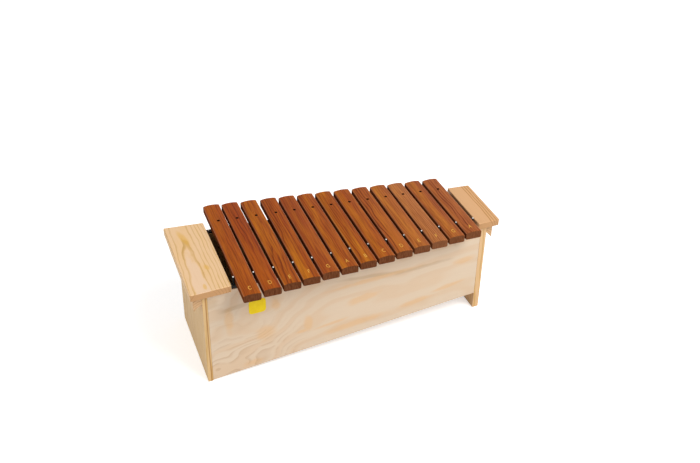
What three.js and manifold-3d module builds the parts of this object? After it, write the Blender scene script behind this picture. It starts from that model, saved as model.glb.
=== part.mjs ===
// Alto box xylophone. A tapered wooden resonator box carries thirteen hardwood bars that lift off.
// Millimetres, +Z up, +X from the lowest bar to the highest, +Y to the rear, z = 0 is the floor.
// x is measured from the middle of the lowest bar, and the finished group moves the whole to its own middle.
import * as THREE from "three";
import { mergeVertices } from "three/addons/utils/BufferGeometryUtils.js";
import Module from "manifold-3d";

const wasm = await Module();
wasm.setup();

// Bars
const bar_count = 13;
const bar_pitch = 40;
const bar_width = 34.5;
const bar_thickness = 18;
const bar_crown = 2.2;
const bar_shoulder = 1.8;
const bar_foot = 2.6;
const bar_end_ease = 0.9;
const longest_bar = 324;
const shortest_bar = 219;
const bar_hole_diameter = 6;
const arch_share = 0.44;
const arch_depth_lowest = 7;
const arch_depth_highest = 3.5;
const lowest_octave = 4;

// How far each loose bar's rear end has slid sideways against its pin, from the lowest bar up
const rear_play = [1.1, -0.6, -1, 0.8, 0.2, -0.3, -0.8, -0.2, -0.2, 0.3, -0.4, -0.8, -0.9];

// Resonator box
const seat_height = 212.5;
const panel_thickness = 10;
const left_end_thickness = 10;
const right_end_thickness = 14;
const box_depth_left = 215.4;
const box_depth_right = 131.7;
const bar_to_left_end = 84.1;
const bar_to_right_end = 54.6;
const panel_rise_left = 1.5;
const panel_rise_right = 40.3;
const bottom_thickness = 6;
const bottom_inset = 2;

// Caps that close the box's two ends and serve as handles
const cap_thickness = 15;
const cap_front_overhang = 8;
const left_cap_rear_overhang = 12;
const right_cap_rear_overhang = 9;
const cap_corner = 3;
const cap_ease = 1;
const cap_reach = 24.2;
const left_cap_gap = 27;
const right_cap_gap = 29.1;

// Rails under the caps, with a sloped underside for the fingers
const left_rail_width = 17.5;
const right_rail_width = 13;
const rail_outer_depth = 31;
const rail_inner_depth = 17;

// Soft strips that the bars rest on. The rear one is pressed down at its ends
const strip_height = 7.2;
const strip_width = 9;
const strip_end_gap = 1;
const pressed_height = 4.6;
const pressed_length = 12;
const pressed_slope = 5;

// Steel pins, and the tacks that hold the ends of the rear strip
const pin_diameter = 2.5;
const pin_point = 3;
const pin_depth = 18;
const pin_head_diameter = 3.2;
const pin_head_height = 1.6;
const pin_brim_height = 0.4;
const front_pin_above_bar = 0.4;
const rear_pin_below_bar = 7;
const tack_depth = 12;
const tack_inset = 6;

// Wooden dowels that hold the caps on the end boards
const dowel_diameter = 6;
const dowel_in_cap = 9;
const dowel_in_board = 20;
const dowel_share = 0.62;

// Blank label on the front panel
const label_width = 35;
const label_height = 33.5;
const label_corner = 8;
const label_thickness = 0.4;
const label_from_bar = 6.3;
const label_drop = 37.8;

// Clearances: between glued faces, round what is driven in, and under a bar that lies on its strips
const glue_line = 0.2;
const drive_gap = 0.3;
const rest_gap = 0.3;

// Faces round a dowel and a pin, steps in each kind of arc, and how far a cutter runs past what it cuts
const dowel_sides = 10;
const pin_sides = 8;
const corner_steps = 3;
const crown_steps = 8;
const arch_steps = 12;
const cutter_run = 5;

// Places that follow from the sizes
const last_bar_x = (bar_count - 1) * bar_pitch;
const left_end_x = -bar_to_left_end;
const right_end_x = last_bar_x + bar_to_right_end;
const left_inner_x = left_end_x + left_end_thickness;
const right_inner_x = right_end_x - right_end_thickness;
const left_cap_x = left_end_x - cap_reach;
const right_cap_x = right_end_x + cap_reach;
const taper = (box_depth_left - box_depth_right) / 2 / (right_end_x - left_end_x);
const slant = Math.hypot(1, taper);
const strip_base = seat_height + glue_line;
const strip_top = seat_height + strip_height;
const pressed_top = strip_base + pressed_height;
const bar_underside = strip_top + rest_gap;
const bar_top = bar_underside + bar_thickness;
const cap_underside = seat_height + glue_line;

const half_depth = (x) => box_depth_left / 2 - taper * (x - left_end_x);
const pin_line = (x) => half_depth(x) - (panel_thickness * slant) / 2;
const between = (first, last, share) => first + (last - first) * share;
const bar_length = (i) => between(longest_bar, shortest_bar, i / (bar_count - 1));
const arch_depth = (i) => between(arch_depth_lowest, arch_depth_highest, i / (bar_count - 1));

function panel_lower_edge(x) {
  const along = (x - left_inner_x) / (right_inner_x - left_inner_x);
  return between(panel_rise_left, panel_rise_right, along);
}

function note_name(i) {
  const notes = ["c", "d", "e", "f", "g", "a", "b"];
  const octave = lowest_octave + Math.floor(i / notes.length);
  return `${notes[i % notes.length]}${octave}`;
}

// Finishes
function finish(color, roughness, metalness = 0) {
  return new THREE.MeshStandardMaterial({ color, roughness, metalness });
}
const pine = finish(0xe3bd86, 0.6);
const plywood = finish(0xdfc3a1, 0.62);
const hardwood = finish(0xa9581f, 0.42);
const beech = finish(0xd9b382, 0.6);
const black_felt = finish(0x15110f, 0.9);
const steel = finish(0xd5d5d2, 0.25, 1);
const yellow_vinyl = finish(0xe0b81c, 0.4);

const xylophone = new THREE.Group();

function add_piece(name, geometry, material, parent = xylophone) {
  const mesh = new THREE.Mesh(geometry, material);
  mesh.name = name;
  parent.add(mesh);
}

// Closed solids and their cuts
function to_solid(geometry) {
  const bare = geometry.clone();
  bare.deleteAttribute("normal");
  bare.deleteAttribute("uv");
  const merged = mergeVertices(bare);
  const mesh = new wasm.Mesh({
    numProp: 3,
    vertProperties: merged.attributes.position.array,
    triVerts: new Uint32Array(merged.index.array),
  });
  return new wasm.Manifold(mesh);
}

function to_geometry(solid) {
  const mesh = solid.getMesh();
  const geometry = new THREE.BufferGeometry();
  geometry.setAttribute("position", new THREE.BufferAttribute(mesh.vertProperties, 3));
  geometry.setIndex(new THREE.BufferAttribute(mesh.triVerts, 1));
  return geometry;
}

function drilled(geometry, cutters) {
  let solid = to_solid(geometry);
  for (const cutter of cutters) {
    solid = solid.subtract(to_solid(cutter));
  }
  return to_geometry(solid);
}

// Outlines
function outline_of(points) {
  return new THREE.Shape(points.map(([x, y]) => new THREE.Vector2(x, y)));
}

function rounded_outline(points, radius) {
  const corners = points.map(([x, y]) => new THREE.Vector2(x, y));
  const shape = new THREE.Shape();
  corners.forEach((corner, i) => {
    const before = corners[(i + corners.length - 1) % corners.length];
    const after = corners[(i + 1) % corners.length];
    const entry = before.clone().sub(corner).setLength(radius).add(corner);
    const exit = after.clone().sub(corner).setLength(radius).add(corner);
    if (i === 0) {
      shape.moveTo(entry.x, entry.y);
    } else {
      shape.lineTo(entry.x, entry.y);
    }
    shape.quadraticCurveTo(corner.x, corner.y, exit.x, exit.y);
  });
  shape.closePath();
  return shape;
}

// Points along an arc, both ends among them, anticlockwise
function arc_points([x, y], radius, from, to, steps) {
  return Array.from({ length: steps + 1 }, (_, k) => {
    const angle = between(from, to, k / steps);
    return [x + radius * Math.cos(angle), y + radius * Math.sin(angle)];
  });
}

// Four corners, anticlockwise: a rectangle, or a stretch of the box that is half(x) deep each way
function rectangle(low_x, low_y, high_x, high_y) {
  return [[low_x, low_y], [high_x, low_y], [high_x, high_y], [low_x, high_y]];
}

function tapered_stretch(low_x, high_x, half) {
  return [[low_x, -half(low_x)], [high_x, -half(high_x)], [high_x, half(high_x)], [low_x, half(low_x)]];
}

// A slab from z = 0 to its thickness, whose edges are eased on both faces where ease is more than zero
function slab(shape, thickness, ease = 0) {
  const geometry = new THREE.ExtrudeGeometry(shape, {
    depth: thickness - 2 * ease,
    bevelEnabled: ease > 0,
    bevelThickness: ease,
    bevelSize: ease,
    bevelOffset: -ease,
    bevelSegments: 1,
    curveSegments: corner_steps,
  });
  return geometry.translate(0, 0, ease);
}

// Stands an outline drawn in x and z on its edge, with its rear face at rear_y
function standing(shape, rear_y, thickness) {
  return slab(shape, thickness).rotateX(Math.PI / 2).translate(0, rear_y, 0);
}

// A board along the front (side -1) or the rear (side 1) of the box, sheared to follow its taper
function tapered_board(shape, side, inset, thickness) {
  const outer_y = half_depth(0) - inset * slant;
  const depth = thickness * slant;
  const rear_y = side > 0 ? outer_y : depth - outer_y;
  const shear = new THREE.Matrix4().makeShear(-side * taper, 0, 0, 0, 0, 0);
  return standing(shape, rear_y, depth).applyMatrix4(shear);
}

// Round rods and holes
function rod_up(x, y, low_z, high_z, diameter, sides) {
  const rod = new THREE.CylinderGeometry(diameter / 2, diameter / 2, high_z - low_z, sides);
  return rod.rotateX(Math.PI / 2).translate(x, y, (low_z + high_z) / 2);
}

// A pin with a point below and a domed head above, turned about a vertical axis
function domed_pin(x, y, point_z, top_z) {
  const shank = pin_diameter / 2;
  const head = pin_head_diameter / 2;
  const dome = pin_head_height - pin_brim_height;
  const profile = [
    [0, point_z],
    [shank, point_z + pin_point],
    [shank, top_z - pin_head_height],
    [head, top_z - pin_head_height],
    [head, top_z - dome],
    [head * Math.SQRT1_2, top_z - dome * (1 - Math.SQRT1_2)],
    [0, top_z],
  ];
  const points = profile.map(([r, z]) => new THREE.Vector2(r, z));
  return new THREE.LatheGeometry(points, pin_sides).rotateX(Math.PI / 2).translate(x, y, 0);
}

// Where pins and tacks stand: a front pin on each side of each bar, a rear pin in each bar's hole
const front_pin_places = Array.from({ length: bar_count + 1 }, (_, i) => {
  const x = (i - 0.5) * bar_pitch;
  return [x, -pin_line(x)];
});
const rear_pin_places = Array.from({ length: bar_count }, (_, i) => {
  const x = i * bar_pitch;
  return [x, pin_line(x)];
});
const strip_left_x = -left_cap_gap + strip_end_gap;
const strip_right_x = last_bar_x + right_cap_gap - strip_end_gap;
const tack_places = [strip_left_x + tack_inset, strip_right_x - tack_inset].map((x) => [x, pin_line(x)]);

// Holes for what is driven in
function driven_holes(places, low_z) {
  const diameter = pin_diameter + 2 * drive_gap;
  return places.map(([x, y]) => rod_up(x, y, low_z, strip_top + cutter_run, diameter, pin_sides));
}

const pin_holes = (places) => driven_holes(places, seat_height - pin_depth - drive_gap);
const tack_holes = (places) => driven_holes(places, seat_height - tack_depth - drive_gap);
const through_holes = (places) => driven_holes(places, strip_base - cutter_run);

// Two dowels stand in each end board and reach up into its cap
const cap_dowels = [];
for (const [end, middle_x] of [
  ["left", (left_end_x + left_inner_x) / 2],
  ["right", (right_end_x + right_inner_x) / 2],
]) {
  for (const [face, side] of [["front", -1], ["rear", 1]]) {
    const y = side * dowel_share * half_depth(middle_x);
    cap_dowels.push({ name: `${end}_${face}_cap_dowel`, x: middle_x, y });
  }
}

function dowel({ x, y }, gap = 0) {
  const low_z = seat_height - dowel_in_board - gap;
  const high_z = cap_underside + dowel_in_cap + gap;
  return rod_up(x, y, low_z, high_z, dowel_diameter + 2 * gap, dowel_sides);
}

const dowel_holes = () => cap_dowels.map((place) => dowel(place, drive_gap));

// Front and rear panels, with holes for what is driven into their upper edges
function panel(side, holes) {
  const left_x = left_inner_x + glue_line;
  const right_x = right_inner_x - glue_line;
  const shape = outline_of([
    [left_x, panel_lower_edge(left_x)],
    [right_x, panel_lower_edge(right_x)],
    [right_x, seat_height],
    [left_x, seat_height],
  ]);
  return drilled(tapered_board(shape, side, 0, panel_thickness), holes);
}

add_piece("front_panel", panel(-1, pin_holes(front_pin_places)), plywood);
add_piece("rear_panel", panel(1, [...pin_holes(rear_pin_places), ...tack_holes(tack_places)]), plywood);

// End boards, which stand on the floor
function end_board(low_x, high_x) {
  const shape = outline_of(tapered_stretch(low_x, high_x, half_depth));
  return drilled(slab(shape, seat_height), dowel_holes());
}

add_piece("left_end_board", end_board(left_end_x, left_inner_x), pine);
add_piece("right_end_board", end_board(right_inner_x, right_end_x), pine);

// Bottom board between the panels, sloped like their lower edges
function bottom_board() {
  const inner_half = (x) => half_depth(x) - panel_thickness * slant - drive_gap;
  const points = tapered_stretch(left_inner_x + drive_gap, right_inner_x - drive_gap, inner_half);
  const fall = (panel_rise_right - panel_rise_left) / (right_inner_x - left_inner_x);
  const slope = new THREE.Matrix4().makeShear(0, fall, 0, 0, 0, 0);
  const lift = panel_lower_edge(0) + bottom_inset;
  return slab(outline_of(points), bottom_thickness).applyMatrix4(slope).translate(0, 0, lift);
}

add_piece("bottom_board", bottom_board(), plywood);

// Caps, wider than the box all round and eased along their edges
function cap(low_x, high_x, rear_overhang) {
  const front = (x) => -half_depth(x) - cap_front_overhang;
  const rear = (x) => half_depth(x) + rear_overhang;
  const points = [
    [low_x, front(low_x)],
    [high_x, front(high_x)],
    [high_x, rear(high_x)],
    [low_x, rear(low_x)],
  ];
  const board = slab(rounded_outline(points, cap_corner), cap_thickness, cap_ease);
  return drilled(board.translate(0, 0, cap_underside), dowel_holes());
}

add_piece("left_cap", cap(left_cap_x, -left_cap_gap, left_cap_rear_overhang), pine);
add_piece("right_cap", cap(last_bar_x + right_cap_gap, right_cap_x, right_cap_rear_overhang), pine);

// Finger rails under the caps, deeper on the outside
function grip_rail(inner_x, outward, width) {
  const near_x = inner_x + outward * glue_line;
  const far_x = near_x + outward * width;
  const shape = outline_of([
    [near_x, seat_height - rail_inner_depth],
    [far_x, seat_height - rail_outer_depth],
    [far_x, seat_height],
    [near_x, seat_height],
  ]);
  const half = half_depth(inner_x);
  return standing(shape, half, 2 * half);
}

add_piece("left_grip_rail", grip_rail(left_end_x, -1, left_rail_width), pine);
add_piece("right_grip_rail", grip_rail(right_end_x, 1, right_rail_width), pine);

// Soft strips on the panels, seen from the front
const plain_outline = rectangle(strip_left_x, strip_base, strip_right_x, strip_top);
const pressed_outline = [
  [strip_left_x, strip_base],
  [strip_right_x, strip_base],
  [strip_right_x, pressed_top],
  [strip_right_x - pressed_length, pressed_top],
  [strip_right_x - pressed_length - pressed_slope, strip_top],
  [strip_left_x + pressed_length + pressed_slope, strip_top],
  [strip_left_x + pressed_length, pressed_top],
  [strip_left_x, pressed_top],
];

function strip(side, outline, places) {
  const inset = (panel_thickness - strip_width) / 2;
  return drilled(tapered_board(outline_of(outline), side, inset, strip_width), through_holes(places));
}

add_piece("front_bar_strip", strip(-1, plain_outline, front_pin_places), black_felt);
add_piece("rear_bar_strip", strip(1, pressed_outline, [...rear_pin_places, ...tack_places]), black_felt);

// Pins and tacks
const pin_point_z = seat_height - pin_depth;
const tack_point_z = seat_height - tack_depth;
const front_pin_top = bar_top + front_pin_above_bar;
const rear_pin_top = bar_top - rear_pin_below_bar;
const tack_top = pressed_top + drive_gap + pin_head_height;

front_pin_places.forEach(([x, y], i) => {
  const number = String(i + 1).padStart(2, "0");
  add_piece(`front_pin_${number}`, domed_pin(x, y, pin_point_z, front_pin_top), steel);
});
rear_pin_places.forEach(([x, y], i) => {
  const pin = rod_up(x, y, pin_point_z, rear_pin_top, pin_diameter, pin_sides);
  add_piece(`rear_pin_${note_name(i)}`, pin, steel);
});
tack_places.forEach(([x, y], i) => {
  const end = i === 0 ? "left" : "right";
  add_piece(`${end}_strip_tack`, domed_pin(x, y, tack_point_z, tack_top), steel);
});

// Hidden dowels
for (const place of cap_dowels) {
  add_piece(place.name, dowel(place), beech);
}

// Blank label, stuck to the front panel
function label() {
  const high_z = seat_height - label_drop;
  const points = rectangle(label_from_bar, high_z - label_height, label_from_bar + label_width, high_z);
  const shape = rounded_outline(points, label_corner);
  return tapered_board(shape, -1, -label_thickness - glue_line, label_thickness);
}

add_piece("front_label", label(), yellow_vinyl);

// A bar's section, crowned on top and rounded along its edges
function bar_section() {
  const half = bar_width / 2;
  const radius = (half ** 2 + bar_crown ** 2) / (2 * bar_crown);
  const centre_z = bar_thickness - radius;
  const shoulder_x = half - bar_shoulder;
  const shoulder_z = centre_z + Math.sqrt((radius - bar_shoulder) ** 2 - shoulder_x ** 2);
  const lean = Math.atan2(shoulder_z - centre_z, shoulder_x);
  const foot_x = half - bar_foot;
  const crown = arc_points([0, centre_z], radius, lean, Math.PI - lean, crown_steps);
  return outline_of([
    ...arc_points([foot_x, bar_foot], bar_foot, -Math.PI / 2, 0, corner_steps),
    ...arc_points([shoulder_x, shoulder_z], bar_shoulder, 0, lean, corner_steps),
    ...crown.slice(1, -1),
    ...arc_points([-shoulder_x, shoulder_z], bar_shoulder, Math.PI - lean, Math.PI, corner_steps),
    ...arc_points([-foot_x, bar_foot], bar_foot, Math.PI, 1.5 * Math.PI, corner_steps),
  ]);
}

// The hollow under a bar, a shallow arc seen from the side and cut right across
function arch_cutter(length, depth) {
  const chord = (length * arch_share) / 2;
  const radius = (chord ** 2 + depth ** 2) / (2 * depth);
  const foot_angle = Math.acos(chord / radius);
  const arc = arc_points([0, depth - radius], radius, foot_angle, Math.PI - foot_angle, arch_steps);
  const outline = outline_of([[-chord, -cutter_run], [chord, -cutter_run], ...arc]);
  const width = bar_width + 2 * cutter_run;
  const across = new THREE.Matrix4().makeBasis(
    new THREE.Vector3(0, 1, 0),
    new THREE.Vector3(0, 0, 1),
    new THREE.Vector3(1, 0, 0),
  );
  return slab(outline, width).applyMatrix4(across).translate(-width / 2, 0, 0);
}

// One bar, square to the box, with its middle above the middle of the box
function bar_solid(i) {
  const length = bar_length(i);
  const blank = slab(bar_section(), length, bar_end_ease).rotateX(Math.PI / 2).translate(0, length / 2, 0);
  const hole_y = pin_line(i * bar_pitch);
  const hole = rod_up(0, hole_y, -cutter_run, bar_thickness + cutter_run, bar_hole_diameter, dowel_sides);
  return drilled(blank, [arch_cutter(length, arch_depth(i)), hole]);
}

// Each bar turns a little about the middle of its two front pins
for (let i = 0; i < bar_count; i++) {
  const x = i * bar_pitch;
  const pivot_y = -pin_line(x);
  const reach = bar_length(i) / 2 - pivot_y;
  const turned = new THREE.Group();
  turned.position.set(x, pivot_y, bar_underside);
  turned.rotation.z = -Math.atan2(rear_play[i % rear_play.length], reach);
  xylophone.add(turned);
  add_piece(`bar_${note_name(i)}`, bar_solid(i).translate(0, -pivot_y, 0), hardwood, turned);
}

xylophone.position.x = -(left_cap_x + right_cap_x) / 2;

const alto_xylophone = new THREE.Group();
alto_xylophone.add(xylophone);

export default alto_xylophone;
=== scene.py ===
import math

import bmesh
import bpy
from mathutils import Matrix, Vector


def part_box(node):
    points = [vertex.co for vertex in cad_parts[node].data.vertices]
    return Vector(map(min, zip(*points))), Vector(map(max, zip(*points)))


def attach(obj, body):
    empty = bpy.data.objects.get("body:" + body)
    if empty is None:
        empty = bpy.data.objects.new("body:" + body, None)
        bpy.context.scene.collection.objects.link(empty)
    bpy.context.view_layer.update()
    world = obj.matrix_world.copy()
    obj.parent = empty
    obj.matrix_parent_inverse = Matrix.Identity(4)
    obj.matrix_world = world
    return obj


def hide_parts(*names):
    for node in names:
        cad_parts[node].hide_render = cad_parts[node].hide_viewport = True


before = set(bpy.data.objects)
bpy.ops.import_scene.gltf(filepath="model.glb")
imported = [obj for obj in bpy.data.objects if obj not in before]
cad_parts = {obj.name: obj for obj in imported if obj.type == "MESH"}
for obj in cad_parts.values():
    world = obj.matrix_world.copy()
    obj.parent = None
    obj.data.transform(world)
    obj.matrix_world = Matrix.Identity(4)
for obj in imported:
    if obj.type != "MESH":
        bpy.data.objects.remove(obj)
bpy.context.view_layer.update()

bl_info = {
    "name": "Alto Xylophone",
    "version": (1, 0, 0),
    "blender": (4, 5, 0),
    "location": "View3D > Sidebar > Xylophone",
    "description": "Builds a thirteen-bar alto xylophone on its resonator box, piece by piece",
    "category": "Add Mesh",
}

# Lengths are in metres unless a name says otherwise
MM = 0.001
NOTES = ["c4", "d4", "e4", "f4", "g4", "a4", "b4", "c5", "d5", "e5", "f5", "g5", "a5"]
BOX_BODY = "box"
UP = Vector((0, 0, 1))
# Edges sharper than this stay crisp where the faces beside them are shaded smooth
CRISP_EDGE = math.radians(38)
# Corners of a board that are sharper than this are sanded round
SANDED_CORNER = math.radians(40)
# Faces that turn by less than this are one flat face
FLAT = math.radians(1)
# The stretch of a bar's end that tells where the end's middle is
END_SAMPLE = 20 * MM
SENSOR_WIDTH_MM = 36
# From the floor's middle to its edge
FLOOR_REACH = 6.0

# Node kinds that the materials and the trees use most. Their inputs go by number: a math node's are its
# operands, a range node's the value, the two ends that it comes from and the two that it goes to, and a
# mix node's the share, then two numbers at 2 and 3 or two colours at 6 and 7
MATH = "ShaderNodeMath"
VECTOR = "ShaderNodeVectorMath"
RANGE = "ShaderNodeMapRange"
MIX = "ShaderNodeMix"
NOISE = "ShaderNodeTexNoise"
ATTRIBUTE = "ShaderNodeAttribute"


# Helpers


def linear(code):
    """Turns an sRGB hex value into the linear colour that a node wants."""
    channels = [int(code[i:i + 2], 16) / 255 for i in (1, 3, 5)]
    return [c / 12.92 if c <= 0.04045 else ((c + 0.055) / 1.055) ** 2.4 for c in channels] + [1.0]


def add(tree, kind, inputs=None, out=0, **settings):
    """Adds one node with its settings. Each input is a value, or another node's socket to link from."""
    node = tree.nodes.new(kind)
    for name, value in settings.items():
        setattr(node, name, value)
    for key, value in (inputs or {}).items():
        if isinstance(value, bpy.types.NodeSocket):
            tree.links.new(value, node.inputs[key])
        else:
            node.inputs[key].default_value = value
    return node if out is None else node.outputs[out]


def start_material(name):
    """A new material with an empty node tree."""
    material = bpy.data.materials.new(name)
    material.use_nodes = True
    material.node_tree.nodes.clear()
    return material, material.node_tree


def place_on_piece(tree):
    """A point's place on the piece in millimetres."""
    place = add(tree, "ShaderNodeTexCoord", out="Object")
    return add(tree, VECTOR, {0: place, "Scale": 1 / MM}, operation="SCALE")


def turned_to(tree, direction):
    """How far a face is turned to a direction: one where it looks straight that way."""
    normal = add(tree, "ShaderNodeTexCoord", out="Normal")
    return add(tree, VECTOR, {0: normal, 1: direction}, out="Value", operation="DOT_PRODUCT")


def finish_material(tree, colour, bump, height_mm, **sockets):
    """Adds the surface shader, with its bump's height in millimetres, and the output."""
    normal = add(tree, "ShaderNodeBump", {"Strength": 1.0, "Distance": height_mm * MM, "Height": bump})
    inputs = {"Base Color": colour, "Normal": normal}
    inputs.update({name.replace("_", " "): value for name, value in sockets.items()})
    shader = add(tree, "ShaderNodeBsdfPrincipled", inputs)
    add(tree, "ShaderNodeOutputMaterial", {"Surface": shader}, out=None)


def stretched_noise(tree, place, cell, detail=2.0, roughness=0.5):
    """Noise whose cells are this many millimetres long on each axis."""
    drawn = add(tree, VECTOR, {0: place, 1: [1 / size for size in cell]}, operation="MULTIPLY")
    return add(tree, NOISE, {"Vector": drawn, "Scale": 1.0, "Detail": detail, "Roughness": roughness})


def tinted(tree, colour, *tints):
    """Lays tints over a colour one after another, each given as its share and its sRGB hex value."""
    for share, code in tints:
        colour = add(tree, MIX, {0: share, 6: colour, 7: linear(code)}, 2, data_type="RGBA")
    return colour


def ring_lines(tree, turns, rise, fall, join="MULTIPLY"):
    """One line in each growth layer, which rises over one part of the layer and falls over another."""
    layer = add(tree, MATH, {0: turns}, operation="FRACT")
    rising = add(tree, RANGE, {0: layer, 1: rise[0], 2: rise[1]}, interpolation_type="SMOOTHSTEP")
    falling = add(tree, RANGE, {0: layer, 1: fall[0], 2: fall[1]}, interpolation_type="SMOOTHSTEP")
    return add(tree, MATH, {0: rising, 1: falling}, operation=join)


def two_toned(name, cell, low, high, bump_mm, limits=(0.3, 0.7), detail=2.0, fineness=0.5, **sockets):
    """A material whose one noise, with cells of this size, mixes two tones and raises the bump."""
    material, tree = start_material(name)
    noise = stretched_noise(tree, place_on_piece(tree), cell, detail, fineness)
    shade = add(tree, RANGE, {0: noise, 1: limits[0], 2: limits[1]})
    colour = add(tree, MIX, {0: shade, 6: low, 7: high}, 2, data_type="RGBA")
    finish_material(tree, colour, noise, bump_mm, **sockets)
    return material


def new_tree(name, inputs):
    """A geometry tree with named inputs, each given as its socket type and default."""
    tree = bpy.data.node_groups.new(name, "GeometryNodeTree")
    for label, (kind, default) in inputs.items():
        socket = tree.interface.new_socket(label, in_out="INPUT", socket_type="NodeSocket" + kind)
        if default is not None:
            socket.default_value = default
    tree.interface.new_socket("Geometry", in_out="OUTPUT", socket_type="NodeSocketGeometry")
    given = tree.nodes.new("NodeGroupInput").outputs
    return tree, given


def close_tree(tree, geometry, material):
    """Ends a tree: smooth faces, crisp edges, real geometry and its material."""
    smooth = add(tree, "GeometryNodeSetShadeSmooth", {"Geometry": geometry, "Shade Smooth": True})
    angle = add(tree, "GeometryNodeInputMeshEdgeAngle")
    crisp = add(tree, MATH, {0: angle, 1: CRISP_EDGE}, operation="GREATER_THAN")
    edges = {"Geometry": smooth, "Selection": crisp, "Shade Smooth": False}
    shaded = add(tree, "GeometryNodeSetShadeSmooth", edges, domain="EDGE")
    real = add(tree, "GeometryNodeRealizeInstances", {"Geometry": shaded})
    painted = add(tree, "GeometryNodeSetMaterial", {"Geometry": real, "Material": material})
    add(tree, "NodeGroupOutput", {0: painted}, out=None)
    return tree


def in_scene(name, data):
    """A new object with this data, linked to the scene."""
    thing = bpy.data.objects.new(name, data)
    bpy.context.scene.collection.objects.link(thing)
    return thing


def grown_mesh(tree, name, values):
    """Runs a tree with these inputs and gives the result as a plain mesh."""
    holder = in_scene(name + "_source", bpy.data.meshes.new(name + "_source"))
    modifier = holder.modifiers.new("shape", "NODES")
    modifier.node_group = tree
    keys = {item.name: item.identifier for item in tree.interface.items_tree if item.in_out == "INPUT"}
    for label, value in values.items():
        modifier[keys[label]] = value
    return baked_mesh(holder, name)


def baked_mesh(holder, name):
    """The holder's mesh with its modifiers applied, and the holder removed."""
    bpy.context.view_layer.update()
    seen = holder.evaluated_get(bpy.context.evaluated_depsgraph_get())
    mesh = bpy.data.meshes.new_from_object(seen)
    mesh.name = name
    bpy.data.objects.remove(holder)
    return mesh


def stand(mesh, name, body, slot, *nodes):
    """Makes a finished piece of a mesh, riding on its body in place of its CAD nodes."""
    piece = in_scene(name, mesh)
    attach(piece, body)
    if nodes:
        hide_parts(*nodes)


def centre(node):
    """The middle of a CAD node's box."""
    low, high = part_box(node)
    return (low + high) / 2


def length_property(name, description, millimetres):
    """A length for a settings group."""
    return bpy.props.FloatProperty(
        name=name, description=description, default=millimetres * MM, unit="LENGTH")


def colour_property(name, description, code):
    """A colour for a settings group, given as its sRGB hex value."""
    return bpy.props.FloatVectorProperty(
        name=name, description=description, default=linear(code), subtype="COLOR", size=4,
        min=0.0, max=1.0)


# Materials


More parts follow.
